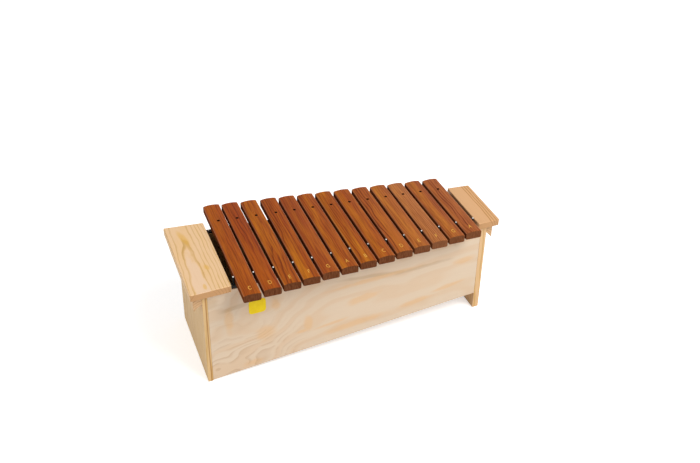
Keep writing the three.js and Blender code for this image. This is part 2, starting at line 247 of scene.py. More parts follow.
def padauk(sizes):
    """Bars. Planed, sanded and oiled padauk: orange-brown with golden and dark bands, and a low sheen."""
    wood, tree = start_material("oiled_padauk")
    place = add(tree, ATTRIBUTE, out="Vector", attribute_name="place")
    look = {n: add(tree, ATTRIBUTE, out="Fac", attribute_name=n) for n in BAR_LOOKS}
    # Each bar has its own stretch of the noise
    apart = add(tree, "ShaderNodeCombineXYZ", {i: look["seed"] for i in range(3)})
    offset = add(tree, VECTOR, {0: apart, 1: (71.0, 613.0, 37.0)}, operation="MULTIPLY")
    own = add(tree, VECTOR, {0: place, 1: offset}, operation="ADD")
    x, y, z = (add(tree, "ShaderNodeSeparateXYZ", {0: place}, out=i) for i in range(3))

    # Broad bands, about 12 mm across and 200 mm along the grain
    bands = stretched_noise(tree, own, (12, 200, 12), 3.0, 0.6)
    # Slow wander of the grain, 30 mm across and 120 mm along
    wander = stretched_noise(tree, own, (30, 120, 30))

    # Growth layers round a pith that lies beside or under the bar and slopes along it. They wander by
    # up to 14 mm
    from_pith = add(tree, MATH, {0: x, 1: look["pith_x"]}, operation="SUBTRACT")
    slope = {0: y, 1: look["pith_slope"], 2: look["pith_depth"]}
    sloped = add(tree, MATH, slope, operation="MULTIPLY_ADD")
    depth = add(tree, MATH, {0: z, 1: sloped}, operation="ADD")
    flat = add(tree, "ShaderNodeCombineXYZ", {0: from_pith, 1: depth})
    radius = add(tree, VECTOR, {0: flat}, out="Value", operation="LENGTH")
    bent = add(tree, MATH, {0: wander, 1: 14.0, 2: radius}, operation="MULTIPLY_ADD")
    turns = add(tree, MATH, {0: bent, 1: look["ring"]}, operation="DIVIDE")
    line = ring_lines(tree, turns, (0.42, 0.87), (1.0, 0.88))
    # The lines show in some bands and fade in others
    shown = add(tree, RANGE, {0: bands, 1: 0.36, 2: 0.6}, interpolation_type="SMOOTHSTEP")
    streak = add(tree, MATH, {0: line, 1: shown}, operation="MULTIPLY")
    dark_line = add(tree, MATH, {0: streak, 1: look["streaks"]}, operation="MULTIPLY", use_clamp=True)

    # Open pores, really 0.2 mm wide, drawn 1.5 mm wide and 60 mm long so that they show
    pores = stretched_noise(tree, own, (1.5, 60, 1.5), 2.0, 0.6)
    pore = add(tree, RANGE, {0: pores, 1: 0.42, 2: 0.7}, interpolation_type="SMOOTHSTEP")

    # Golden side against redder heart, which differs from bar to bar and fades to the rear. The border
    # between them is 18 mm wide and wanders up to 13 mm either way
    drift = add(tree, MATH, {0: wander, 1: 26.0, 2: -13.0}, operation="MULTIPLY_ADD")
    across = add(tree, MATH, {0: x, 1: drift}, operation="ADD")
    side = add(tree, RANGE, {0: across, 1: -9.0, 2: 9.0}, interpolation_type="SMOOTHSTEP")
    golden = add(tree, MIX, {0: side, 2: look["gold_left"], 3: look["gold_right"]}, data_type="FLOAT")
    patchy = add(tree, RANGE, {0: bands, 1: 0.3, 2: 0.7, 3: 1.35, 4: 0.55})
    frontward = add(tree, RANGE, {0: y, 1: -150.0, 2: 150.0, 3: 0.1, 4: -0.06})
    parts = {0: golden, 1: patchy, 2: frontward}
    gold_here = add(tree, MATH, parts, operation="MULTIPLY_ADD", use_clamp=True)
    red_here = add(tree, MATH, {0: look["red"], 1: shown}, operation="MULTIPLY", use_clamp=True)

    fleck = add(tree, MATH, {0: pore, 1: 0.52}, operation="MULTIPLY")
    deep = tinted(
        tree, sizes.wood_colour,
        (gold_here, "#BE6F19"),
        (red_here, "#973E14"),
        (look["pale"], "#CE9464"),
        (dark_line, "#581F07"),
        (fleck, "#66280A"),
        (look["dark"], "#4A1E10"),
    )

    # Painted shade: the planed sides, which stand in shade in the narrow gaps between the bars, are
    # darkened to deep brown
    half = sizes.width / 2 / MM
    brow = (sizes.thickness - sizes.crown) / MM
    shoulder = sizes.shoulder / MM
    aside = add(tree, MATH, {0: x}, operation="ABSOLUTE")
    flank = add(tree, RANGE, {0: aside, 1: half - 0.5 * shoulder, 2: half - 0.1 * shoulder})
    under = add(tree, RANGE, {0: z, 1: brow, 2: brow - shoulder})
    planed = add(tree, MATH, {0: flank, 1: under}, operation="MULTIPLY")
    painted_side_shade = add(tree, MATH, {0: planed, 1: 0.7}, operation="MULTIPLY")
    sides_shaded = tinted(tree, deep, (painted_side_shade, "#451B0B"))
    # Painted highlight: pinkish lines on the rounded upper edges, where they catch the light, brightest on
    # the right, which faces the key lamp
    outer = add(tree, RANGE, {0: aside, 1: half - shoulder, 2: half - 0.4 * shoulder})
    upper = add(tree, RANGE, {0: z, 1: brow - shoulder, 2: brow - 0.5 * shoulder})
    lit_side = add(tree, RANGE, {0: x, 1: -half, 2: half, 3: 0.3, 4: 0.75})
    corner = add(tree, MATH, {0: outer, 1: upper}, operation="MULTIPLY")
    rim = add(tree, MATH, {0: corner, 1: lit_side}, operation="MULTIPLY")
    edges_highlighted = tinted(tree, sides_shaded, (rim, "#C79070"))

    # Sawn and sanded end grain takes more oil and looks deep brown, with darker upright streaks
    from_end = add(tree, ATTRIBUTE, out="Fac", attribute_name="from_end")
    end = add(tree, RANGE, {0: from_end, 1: 0.9, 2: 0.2}, interpolation_type="SMOOTHSTEP")
    dots = stretched_noise(tree, own, (1.6, 50, 9), 3.0)
    end_dots = add(tree, RANGE, {0: dots, 1: 0.35, 2: 0.65})
    end_wood = tinted(tree, linear("#74452A"), (end_dots, "#5A3019"), (look["pale"], "#A26A46"))
    sawn = add(tree, MIX, {0: end, 6: edges_highlighted, 7: end_wood}, 2, data_type="RGBA")
    # Painted shade: the bore's wall, deep in the hole, is darkened to near black
    hole = add(tree, ATTRIBUTE, out="Fac", attribute_name="hole")
    past_hole = add(tree, MATH, {0: y, 1: hole}, operation="SUBTRACT")
    plan = add(tree, "ShaderNodeCombineXYZ", {0: x, 1: past_hole})
    from_axis = add(tree, VECTOR, {0: plan}, out="Value", operation="LENGTH")
    bore_radius = sizes.hole_diameter / 2 / MM
    bore = add(tree, RANGE, {0: from_axis, 1: bore_radius + 0.25, 2: bore_radius + 0.05})
    colour = tinted(tree, sawn, (bore, "#2A1006"))

    # Only the sanded top and its edges have the oil's low sheen
    dull = add(tree, MATH, {0: planed, 1: end}, operation="MAXIMUM")
    rough = add(tree, RANGE, {0: dull, 3: 0.42, 4: 1.0})
    finish_material(tree, colour, pores, 0.06, Roughness=rough, IOR=1.5, Specular_IOR_Level=0.06)
    return wood


def blotches(tree, place, plane, spots, fray, softness=0.5):
    """Soft patches on a plane: one at the heart of each spot and zero outside it.

    place is the point on the piece in millimetres, plane says which two axes the patches lie in, and a
    spot is (first, second, half length, half height, tilt in degrees). fray is a noise for the rims."""
    # The noise, a half on average, shifts a rim by this share of the patch's size
    fraying = 1.3
    rim = 1 + fraying / 2
    total = None
    for first, second, long, high, tilt in spots:
        if plane == "XZ":
            back, turn = (-first, 0, -second), (0, math.radians(tilt), 0)
            squeeze = (1 / long, 0, 1 / high)
        else:
            back, turn = (-first, -second, 0), (0, 0, math.radians(-tilt))
            squeeze = (1 / long, 1 / high, 0)
        moved = add(tree, VECTOR, {0: place, 1: back}, operation="ADD")
        tilted = add(tree, "ShaderNodeMapping", {"Vector": moved, "Rotation": turn})
        sized = add(tree, VECTOR, {0: tilted, 1: squeeze}, operation="MULTIPLY")
        far = add(tree, VECTOR, {0: sized}, out="Value", operation="LENGTH")
        rough = add(tree, MATH, {0: fray, 1: fraying, 2: far}, operation="MULTIPLY_ADD")
        limits = {0: rough, 1: rim + softness, 2: rim - softness}
        patch = add(tree, RANGE, limits, interpolation_type="SMOOTHSTEP")
        if total is None:
            total = patch
        else:
            total = add(tree, MATH, {0: total, 1: patch}, operation="MAXIMUM")
    return total


def shaded_inside(tree, colour, place, inside, floor=0.0):
    """Painted shade: browns the faces that look into the box, above a height in millimetres, where the
    inside of the box lies in shade.
    """
    within = add(tree, RANGE, {0: turned_to(tree, inside), 1: 0.6, 2: 0.85})
    height = add(tree, "ShaderNodeSeparateXYZ", {0: place}, out=2)
    above = add(tree, MATH, {0: height, 1: floor}, operation="GREATER_THAN")
    share = add(tree, MATH, {0: within, 1: above}, operation="MULTIPLY")
    return tinted(tree, colour, (share, "#BE9662"))


def pine(name, grain, pith, slope, spacing, first=0.0, strength=0.62, tone="#EBC28E", core="#ECC9A6",
         late="#C79B55", sawn="#C89868", spots=(), vein=None, inside=None, floor=0.0):
    """Planed and waxed pine, cut so that its rings lie round this pith: pale with amber late wood.

    grain is the axis along the fibres, pith a point on the tree's middle line in millimetres, slope the
    angles in degrees by which that line leans, spacing the rings' width and first the radius of the
    innermost ring, within which the wood is plain. strength says how much the rings show. tone and core
    are the pale wood's two colours, late is the late wood's, sawn the ends', and spots are amber resin
    blotches on the top face. vein is where along X a dark layer lies within the board.
    inside is the direction in which the face inside the box looks, and floor where that face starts."""
    wood, tree = start_material(name)
    place = place_on_piece(tree)
    along = [1.0 if axis == grain else 0.0 for axis in "XYZ"]
    back = [-value for value in pith]
    centred = add(tree, VECTOR, {0: place, 1: back}, operation="ADD")
    lean = [math.radians(angle) for angle in slope]
    turned = add(tree, "ShaderNodeMapping", {"Vector": centred, "Rotation": lean})
    across = add(tree, VECTOR, {0: turned, 1: [1 - a for a in along]}, operation="MULTIPLY")
    radius = add(tree, VECTOR, {0: across}, out="Value", operation="LENGTH")

    # The rings wander slowly, 20 mm across and 60 mm along the grain, by up to half a ring either way
    wander = stretched_noise(tree, place, [60 if a else 20 for a in along], 3.0, 0.55)
    from_first = add(tree, MATH, {0: radius, 1: first + 0.55 * spacing}, operation="SUBTRACT")
    bent = add(tree, MATH, {0: wander, 1: spacing * 1.1, 2: from_first}, operation="MULTIPLY_ADD")
    turns = add(tree, MATH, {0: bent, 1: spacing}, operation="DIVIDE")
    line = ring_lines(tree, turns, (0.66, 0.95), (0.09, 0.0), "MAXIMUM")
    outside = add(tree, RANGE, {0: turns, 1: -0.45, 2: -0.2}, interpolation_type="SMOOTHSTEP")
    dense = add(tree, MATH, {0: line, 1: outside}, operation="MULTIPLY")

    # Fibres, really 0.03 mm wide, drawn 1.2 mm wide and 45 mm long so that they show
    fibres = stretched_noise(tree, place, [45 if a else 1.2 for a in along], 3.0, 0.6)
    fibre = add(tree, RANGE, {0: fibres, 1: 0.3, 2: 0.7, 3: -0.08, 4: 0.12})
    # Broad clouds of yellower and pinker wood
    clouds = stretched_noise(tree, place, [90 if a else 22 for a in along])
    cloud = add(tree, RANGE, {0: clouds, 1: 0.35, 2: 0.65})

    part = add(tree, MATH, {0: cloud, 1: 0.45}, operation="MULTIPLY")
    patchy = add(tree, RANGE, {0: clouds, 1: 0.3, 2: 0.7, 3: 1.4 * strength, 4: 0.6 * strength})
    amount = add(tree, MATH, {0: dense, 1: patchy, 2: fibre}, operation="MULTIPLY_ADD", use_clamp=True)
    colour = tinted(tree, linear(core), (outside, tone), (part, core), (amount, late))
    if spots:
        patch = blotches(tree, place, "XY", spots, wander, 0.45)
        share = add(tree, MATH, {0: patch, 1: 0.62}, operation="MULTIPLY")
        colour = tinted(tree, colour, (share, "#E0AE50"))

    # The dark layer wanders a millimetre either way and shows as a brown line on the board's edges
    if vein is not None:
        beside = add(tree, "ShaderNodeSeparateXYZ", {0: place})
        drifted = add(tree, MATH, {0: wander, 1: 2.0, 2: beside}, operation="MULTIPLY_ADD")
        past = add(tree, MATH, {0: drifted, 1: vein + 1.0}, operation="SUBTRACT")
        away = add(tree, MATH, {0: past}, operation="ABSOLUTE")
        stained = add(tree, RANGE, {0: away, 1: 1.5, 2: 0.7, 3: 0.0, 4: 0.75})
        colour = tinted(tree, colour, (stained, "#A87038"))

    # Sawn ends drink the wax and are browner, with hardly any rings left to see
    square = add(tree, MATH, {0: turned_to(tree, along)}, operation="ABSOLUTE")
    end = add(tree, RANGE, {0: square, 1: 0.75, 2: 0.95}, interpolation_type="SMOOTHSTEP")
    end_tone = tinted(tree, linear(sawn), (amount, "#B48456"))
    colour = add(tree, MIX, {0: end, 6: colour, 7: end_tone}, 2, data_type="RGBA")
    # Painted shade on the faces that look into the box
    if inside:
        colour = shaded_inside(tree, colour, place, inside, floor)
    finish_material(tree, colour, fibres, 0.05, Roughness=0.5, IOR=1.5, Specular_IOR_Level=0.2)
    return wood


def plywood(name, lean, flames, dark_patches, inside):
    """Panels. Rotary-cut pine plywood, sanded and lacquered: pinkish beige, soft flames, long lines.

    lean is the angle in degrees between the panel and the X axis. Each flame is a patch of late wood,
    as (x, z, half length, half height, tilt in degrees) in millimetres, and each darker brownish patch is
    given the same way.
    inside is the direction in which the panel's inner face looks."""
    wood, tree = start_material(name)
    place = place_on_piece(tree)
    turned = add(tree, "ShaderNodeMapping", {"Vector": place, "Rotation": (0, 0, math.radians(-lean))})
    through = add(tree, "ShaderNodeSeparateXYZ", {0: turned}, out=1)
    on_face = add(tree, VECTOR, {0: turned, 1: (1, 0, 1)}, operation="MULTIPLY")
    x = add(tree, "ShaderNodeSeparateXYZ", {0: on_face})
    z = add(tree, "ShaderNodeSeparateXYZ", {0: on_face}, out=2)

    # The sheet was peeled in long waves, about 190 mm along the panel and 75 mm up it
    waves = stretched_noise(tree, on_face, (190, 1, 75), 2.0, 0.4)
    # Short wander that frays the flames' rims
    fray = stretched_noise(tree, on_face, (34, 1, 15))
    warm = blotches(tree, on_face, "XZ", flames, fray)

    # Ring lines sweep up from the lower left, where the peel cut deeper, and run out to the right
    sweep = {0: x, 1: -310.0, 2: 20.0, 3: 120.0, 4: 0.0}
    swing = add(tree, RANGE, sweep, interpolation_type="SMOOTHSTEP")
    height = add(tree, MATH, {0: z, 1: swing}, operation="ADD")
    swept = add(tree, MATH, {0: waves, 1: 150.0, 2: height}, operation="MULTIPLY_ADD")
    # Curls, about 60 mm long and 40 mm high, where a knot lay near
    curls = stretched_noise(tree, on_face, (60, 1, 40), 1.0)
    curled = {0: x, 1: -90.0, 2: -200.0, 3: 0.0, 4: 75.0}
    leftmost = add(tree, RANGE, curled, interpolation_type="SMOOTHSTEP")
    lines = add(tree, MATH, {0: curls, 1: leftmost, 2: swept}, operation="MULTIPLY_ADD")
    # That height is cut into steps of 19 mm, with one line in each
    steps = add(tree, MATH, {0: lines, 1: 19.0}, operation="DIVIDE")
    contour = ring_lines(tree, steps, (0.4, 0.94), (1.0, 0.95))
    fading = {0: x, 1: -60.0, 2: -190.0, 3: 0.1, 4: 1.0}
    leftward = add(tree, RANGE, fading, interpolation_type="SMOOTHSTEP")
    lower = add(tree, RANGE, {0: z, 1: 120.0, 2: 50.0, 3: 0.3, 4: 1.0}, interpolation_type="SMOOTHSTEP")
    corner = add(tree, MATH, {0: leftward, 1: lower}, operation="MULTIPLY")
    seen = add(tree, RANGE, {0: fray, 1: 0.34, 2: 0.54}, interpolation_type="SMOOTHSTEP")
    placed = add(tree, MATH, {0: seen, 1: corner}, operation="MULTIPLY")
    shown = add(tree, MATH, {0: contour, 1: placed}, operation="MULTIPLY")
    # Wide pinkish bands, one in every 52 mm, follow them with soft rims
    broad = add(tree, MATH, {0: lines, 1: 52.0}, operation="DIVIDE")
    swell = add(tree, MATH, {0: broad, 1: 0.5}, operation="PINGPONG")
    band = add(tree, RANGE, {0: swell, 1: 0.2, 2: 0.42}, interpolation_type="SMOOTHSTEP")
    # Faint grain along the panel, drawn 2 mm wide
    grain = stretched_noise(tree, on_face, (60, 1, 2), 3.0, 0.6)

    tone = add(tree, MATH, {0: band, 1: 0.6}, operation="MULTIPLY")
    share = add(tree, MATH, {0: warm, 1: 0.6}, operation="MULTIPLY")
    faint = add(tree, MATH, {0: shown, 1: 0.44}, operation="MULTIPLY")
    thin = add(tree, RANGE, {0: grain, 1: 0.45, 2: 0.75, 3: 0.0, 4: 0.09})
    # Darker brownish patches, most of them along the upper edge
    dark_patch = blotches(tree, on_face, "XZ", dark_patches, fray)
    patch_share = add(tree, MATH, {0: dark_patch, 1: 0.3}, operation="MULTIPLY")
    face = tinted(
        tree, linear("#E0CAB0"),
        (tone, "#DDBF9E"),
        (share, "#E3B988"),
        (faint, "#C39D76"),
        (thin, "#C8A67E"),
        (patch_share, "#B09064"),
    )

    # The edges show the plies, five of them 2 mm thick, laid crosswise
    plies = add(tree, MATH, {0: through, 1: 4.0}, operation="PINGPONG")
    ply = add(tree, RANGE, {0: plies, 1: 1.7, 2: 2.3})
    layered = tinted(tree, linear("#DDB988"), (ply, "#BE9464"))
    toward = (math.sin(math.radians(-lean)), math.cos(math.radians(lean)), 0)
    flat = add(tree, MATH, {0: turned_to(tree, toward)}, operation="ABSOLUTE")
    edge = add(tree, RANGE, {0: flat, 1: 0.75, 2: 0.45}, interpolation_type="SMOOTHSTEP")
    colour = add(tree, MIX, {0: edge, 6: face, 7: layered}, 2, data_type="RGBA")
    # Painted shade on the panel's inner face
    colour = shaded_inside(tree, colour, place, inside)
    finish_material(tree, colour, grain, 0.03, Roughness=0.45, IOR=1.5, Specular_IOR_Level=0.2)
    return wood


def felt(sizes):
    """Bar strips. Pressed wool felt dyed black: no gloss, a fuzzy nap."""
    # Matted fibres in tufts of about 0.8 mm
    return two_toned(
        "pressed_wool_felt", (0.8, 0.8, 0.8), sizes.felt_shade, sizes.felt_colour, bump_mm=0.4,
        detail=4.0, fineness=0.7, Roughness=0.95, Sheen_Weight=0.15, Sheen_Roughness=0.5)


def steel():
    """Pins and tacks. Drawn steel wire, zinc plated: bright, with a soft grain from barrel polishing."""
    # Plating grain, really 0.05 mm, drawn at 0.5 mm
    return two_toned(
        "zinc_plated_steel", (0.5, 0.5, 0.5), linear("#CFCFCE"), linear("#E8E8E6"), bump_mm=0.02,
        Metallic=1.0, Roughness=0.28)


def rubber(sizes):
    """Pin sleeves. Extruded black rubber tube: dark, with a dull sheen and faint draw lines."""
    # Draw lines from the die, drawn 0.4 mm wide
    return two_toned(
        "extruded_rubber", (0.4, 0.4, 12), sizes.sleeve_shade, sizes.sleeve_colour, bump_mm=0.05,
        Roughness=0.6, IOR=1.5, Specular_IOR_Level=0.2)


def vinyl(sizes):
    """Label. Vinyl film in one plain colour, with a satin face and faint ripples from laying it on."""
    # Ripples 9 mm wide and 14 mm high
    return two_toned(
        "printed_vinyl_film", (9, 9, 14), sizes.label_shade, sizes.label_colour, bump_mm=0.15,
        detail=3.0, Roughness=0.35, IOR=1.5, Specular_IOR_Level=0.2)


def gold_foil(sizes):
    """Note letters. Hot-stamped gold foil, slightly broken up where it bridged the pores."""
    # Broken places about 0.9 mm wide and 6 mm long
    return two_toned(
        "hot_stamped_gold_foil", (0.9, 6, 0.9), sizes.foil_shade, sizes.foil_colour, bump_mm=0.03,
        limits=(0.35, 0.65), Metallic=0.35, Roughness=0.4)


def beech():
    """Cap dowels. Turned beech: pinkish tan with short dark flecks along the grain."""
    # Flecks drawn 0.8 mm wide and 4 mm long
    return two_toned(
        "turned_beech", (0.8, 0.8, 4), linear("#D9B48C"), linear("#B98A60"), bump_mm=0.05,
        limits=(0.4, 0.65), Roughness=0.55, IOR=1.5)


# Bars

# What each bar's wood looks like, from the lowest bar to the highest: golden share at its left and right
# edge, redness, dark lines, darkness, paleness, its pith's place beside it, depth and slope, and the
# spacing of its growth layers in millimetres. The last look, its seed, is its number in the row
BAR_LOOKS = ("gold_left", "gold_right", "red", "streaks", "dark", "pale", "pith_x", "pith_depth",
             "pith_slope", "ring", "seed")
BAR_WOOD = [
    (0.30, 0.20, 0.40, 0.45, 0.00, 0.00, -60.0, 40.0, 0.00, 3.6),
    (0.06, 0.04, 0.70, 0.75, 0.00, 0.00, -48.0, 20.0, 0.01, 4.6),
    (0.60, 0.45, 0.50, 0.72, 0.00, 0.00, -34.0, 34.0, -0.05, 4.8),
    (0.75, 0.20, 0.60, 0.80, 0.00, 0.00, -52.0, 18.0, 0.02, 4.4),
    (0.25, 0.18, 0.65, 0.40, 0.04, 0.04, -70.0, 50.0, 0.00, 3.6),
    (0.55, 0.30, 0.50, 0.60, 0.00, 0.02, -46.0, 40.0, 0.02, 3.6),
    (0.95, 0.42, 0.50, 0.62, 0.00, 0.00, -56.0, 12.0, 0.01, 4.2),
    (0.45, 0.25, 0.45, 0.45, 0.00, 0.03, 60.0, 60.0, 0.00, 3.6),
    (0.45, 0.25, 0.45, 0.90, 0.00, 0.08, 36.0, 12.0, -0.02, 4.0),
    (0.85, 0.40, 0.35, 0.40, 0.00, 0.14, 66.0, 40.0, 0.00, 3.8),
    (0.60, 0.50, 0.20, 0.50, 0.00, 0.34, -80.0, 30.0, 0.00, 3.6),
    (0.80, 0.10, 0.55, 0.65, 0.00, 0.14, 50.0, 46.0, 0.01, 3.8),
    (0.15, 0.15, 0.70, 0.90, 0.03, 0.20, -30.0, 12.0, 0.01, 4.2),
]


def gathered(tree, value, power):
    """Maps -1 to 1 onto itself so that grid lines gather at both ends, more so at a higher power."""
    size = add(tree, MATH, {0: value}, operation="ABSOLUTE")
    room = add(tree, MATH, {0: 1.0, 1: size}, operation="SUBTRACT")
    less = add(tree, MATH, {0: room, 1: power}, operation="POWER")
    more = add(tree, MATH, {0: 1.0, 1: less}, operation="SUBTRACT")
    sign = add(tree, MATH, {0: value}, operation="SIGN")
    return add(tree, MATH, {0: more, 1: sign}, operation="MULTIPLY")


def bar_tree():
    """A tuned bar, by rule from its sizes: crowned top, eased edges and ends, an arch and one hole."""
    sizes = ["Length", "Width", "Thickness", "Crown", "Shoulder", "Foot", "End Ease", "Arch Length",
             "Arch Depth", "Hole Place", "Hole Radius"]
    inputs = {label: ("Float", 0.01) for label in sizes}
    inputs.update({label: ("Float", 0.0) for label in BAR_LOOKS})
    inputs["Material"] = ("Material", None)
    tree, given = new_tree("tuned_bar", inputs)
    # A cube from -1 to 1, with enough grid lines for its rounded edges, its ends and its arch
    grid = {"Size": (2, 2, 2), "Vertices X": 25, "Vertices Y": 61, "Vertices Z": 13}
    block = add(tree, "GeometryNodeMeshCube", grid)
    corner = add(tree, "GeometryNodeInputPosition")
    across, along, up = (add(tree, "ShaderNodeSeparateXYZ", {0: corner}, out=i) for i in range(3))

    half = add(tree, MATH, {0: given["Width"], 1: 0.5}, operation="MULTIPLY")
    reach = add(tree, MATH, {0: given["Length"], 1: 0.5}, operation="MULTIPLY")
    edge = add(tree, MATH, {0: given["Thickness"], 1: given["Crown"]}, operation="SUBTRACT")
    x = add(tree, MATH, {0: gathered(tree, across, 1.7), 1: half}, operation="MULTIPLY")
    y = add(tree, MATH, {0: gathered(tree, along, 2.2), 1: reach}, operation="MULTIPLY")
    level = add(tree, MATH, {0: gathered(tree, up, 1.5), 1: 0.5, 2: 0.5}, operation="MULTIPLY_ADD")
    z = add(tree, MATH, {0: level, 1: edge}, operation="MULTIPLY")

    # Round the long edges: wider below than above
    upper = add(tree, MATH, {0: level, 1: 0.5}, operation="GREATER_THAN")
    round_ = add(tree, MIX, {0: upper, 2: given["Foot"], 3: given["Shoulder"]}, data_type="FLOAT")
    side = add(tree, MATH, {0: half, 1: round_}, operation="SUBTRACT")
    other = add(tree, MATH, {0: side, 1: -1.0}, operation="MULTIPLY")
    roof = add(tree, MATH, {0: edge, 1: round_}, operation="SUBTRACT")
    cores, outs = [], []
    for value, least, most in ((x, other, side), (z, round_, roof)):
        capped = add(tree, MATH, {0: value, 1: most}, operation="MINIMUM")
        cores.append(add(tree, MATH, {0: capped, 1: least}, operation="MAXIMUM"))
        outs.append(add(tree, MATH, {0: value, 1: cores[-1]}, operation="SUBTRACT"))
    pair = add(tree, "ShaderNodeCombineXYZ", {0: outs[0], 1: outs[1]})
    straight = add(tree, VECTOR, {0: pair}, out="Value", operation="LENGTH")
    # Kept above zero, because it divides
    safe = add(tree, MATH, {0: straight, 1: 1e-7}, operation="MAXIMUM")
    size_x, size_z = (add(tree, MATH, {0: out}, operation="ABSOLUTE") for out in outs)
    larger = add(tree, MATH, {0: size_x, 1: size_z}, operation="MAXIMUM")
    pull = add(tree, MATH, {0: larger, 1: safe}, operation="DIVIDE")
    round_x, round_z = (
        add(tree, MATH, {0: out, 1: pull, 2: core}, operation="MULTIPLY_ADD")
        for out, core in zip(outs, cores))

    # Crown the top
    share = add(tree, MATH, {0: round_x, 1: half}, operation="DIVIDE")
    squared = add(tree, MATH, {0: share, 1: share}, operation="MULTIPLY")
    bulge = add(tree, MATH, {0: 1.0, 1: squared}, operation="SUBTRACT")
    top = add(tree, RANGE, {0: level, 1: 0.5, 2: 1.0})
    crown = add(tree, MATH, {0: bulge, 1: given["Crown"]}, operation="MULTIPLY")
    crowned = add(tree, MATH, {0: crown, 1: top, 2: round_z}, operation="MULTIPLY_ADD")

    # Hollow the underside into its tuning arch: all of it low in the section, none of it near the top
    chord = add(tree, MATH, {0: given["Arch Length"], 1: 0.5}, operation="MULTIPLY")
    way = add(tree, MATH, {0: y, 1: chord}, operation="DIVIDE")
    way2 = add(tree, MATH, {0: way, 1: way}, operation="MULTIPLY")
    open_ = add(tree, MATH, {0: 1.0, 1: way2}, operation="SUBTRACT")
    arch = add(tree, MATH, {0: open_, 1: 0.0}, operation="MAXIMUM")
    bottom = add(tree, RANGE, {0: level, 1: 0.75, 2: 0.28})
    hollow = add(tree, MATH, {0: arch, 1: given["Arch Depth"]}, operation="MULTIPLY")
    arched = add(tree, MATH, {0: hollow, 1: bottom, 2: crowned}, operation="MULTIPLY_ADD")

    # Draw the section in towards both ends
    far = add(tree, MATH, {0: y}, operation="ABSOLUTE")
    left = add(tree, MATH, {0: reach, 1: far}, operation="SUBTRACT")
    part = add(tree, MATH, {0: left, 1: given["End Ease"]}, operation="DIVIDE")
    near = add(tree, MATH, {0: 1.0, 1: part}, operation="SUBTRACT", use_clamp=True)
    near2 = add(tree, MATH, {0: near, 1: near}, operation="MULTIPLY")
    rest = add(tree, MATH, {0: 1.0, 1: near2}, operation="SUBTRACT")
    root = add(tree, MATH, {0: rest}, operation="SQRT")
    drop = add(tree, MATH, {0: 1.0, 1: root}, operation="SUBTRACT")
    inset = add(tree, MATH, {0: drop, 1: given["End Ease"]}, operation="MULTIPLY")
    middle = add(tree, MATH, {0: given["Thickness"], 1: 0.5}, operation="MULTIPLY")
    keeps = []
    for extent in (half, middle):
        thinner = add(tree, MATH, {0: inset, 1: extent}, operation="DIVIDE")
        keeps.append(add(tree, MATH, {0: 1.0, 1: thinner}, operation="SUBTRACT"))
    final_x = add(tree, MATH, {0: round_x, 1: keeps[0]}, operation="MULTIPLY")
    above = add(tree, MATH, {0: arched, 1: middle}, operation="SUBTRACT")
    final_z = add(tree, MATH, {0: above, 1: keeps[1], 2: middle}, operation="MULTIPLY_ADD")
    shaped = add(tree, "ShaderNodeCombineXYZ", {0: final_x, 1: y, 2: final_z})
    bar = add(tree, "GeometryNodeSetPosition", {"Geometry": block, "Position": shaped})

    # Drill the hole for the rear pin, with a bit three times as long as the bar is thick
    depth = add(tree, MATH, {0: given["Thickness"], 1: 3.0}, operation="MULTIPLY")
    bit = {"Vertices": 24, "Radius": given["Hole Radius"], "Depth": depth}
    drill = add(tree, "GeometryNodeMeshCylinder", bit)
    spot = add(tree, "ShaderNodeCombineXYZ", {1: given["Hole Place"], 2: middle})
    placed = add(tree, "GeometryNodeTransform", {"Geometry": drill, "Translation": spot})
    cut = {"Mesh 1": bar, "Mesh 2": placed}
    drilled = add(tree, "GeometryNodeMeshBoolean", cut, operation="DIFFERENCE", solver="EXACT")

    # Hand the wood its place on the bar and this bar's look
    here = add(tree, "GeometryNodeInputPosition")
    scaled = add(tree, VECTOR, {0: here, "Scale": 1 / MM}, operation="SCALE")
    keep = {"Geometry": drilled, "Name": "place", "Value": scaled}
    known = add(tree, "GeometryNodeStoreNamedAttribute", keep, data_type="FLOAT_VECTOR")
    here_y = add(tree, "ShaderNodeSeparateXYZ", {0: here}, out=1)
    from_middle = add(tree, MATH, {0: here_y}, operation="ABSOLUTE")
    to_end = add(tree, MATH, {0: reach, 1: from_middle}, operation="SUBTRACT")
    to_end_mm = add(tree, MATH, {0: to_end, 1: 1 / MM}, operation="MULTIPLY")
    hole_mm = add(tree, MATH, {0: given["Hole Place"], 1: 1 / MM}, operation="MULTIPLY")
    for name, value in [("from_end", to_end_mm), ("hole", hole_mm)] + [(n, given[n]) for n in BAR_LOOKS]:
        keep = {"Geometry": known, "Name": name, "Value": value}
        known = add(tree, "GeometryNodeStoreNamedAttribute", keep, data_type="FLOAT")
    return close_tree(tree, known, given["Material"])


def bar_frame(note):
    """Where a bar lies: the matrix from its own axes to the instrument's, its length, its hole's place."""
    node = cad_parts["bar_" + note]
    points = [v.co for v in node.data.vertices]
    low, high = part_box("bar_" + note)
    ends = []
    for limit, sign in ((low.y, 1), (high.y, -1)):
        near = [p for p in points if (p.y - limit) * sign < END_SAMPLE]
        ends.append(sum(near, Vector()) / len(near))
    axis = ends[1] - ends[0]
    axis.z = 0
    axis.normalize()
    side = axis.cross(UP)
    middle = (ends[0] + ends[1]) / 2
    middle.z = low.z
    reach = [(p - middle).dot(axis) for p in points]
    matrix = Matrix((side, axis, UP)).transposed().to_4x4()
    matrix.translation = middle
    hole = (centre("rear_pin_" + note) - middle).dot(axis)
    return matrix, max(reach) - min(reach), hole


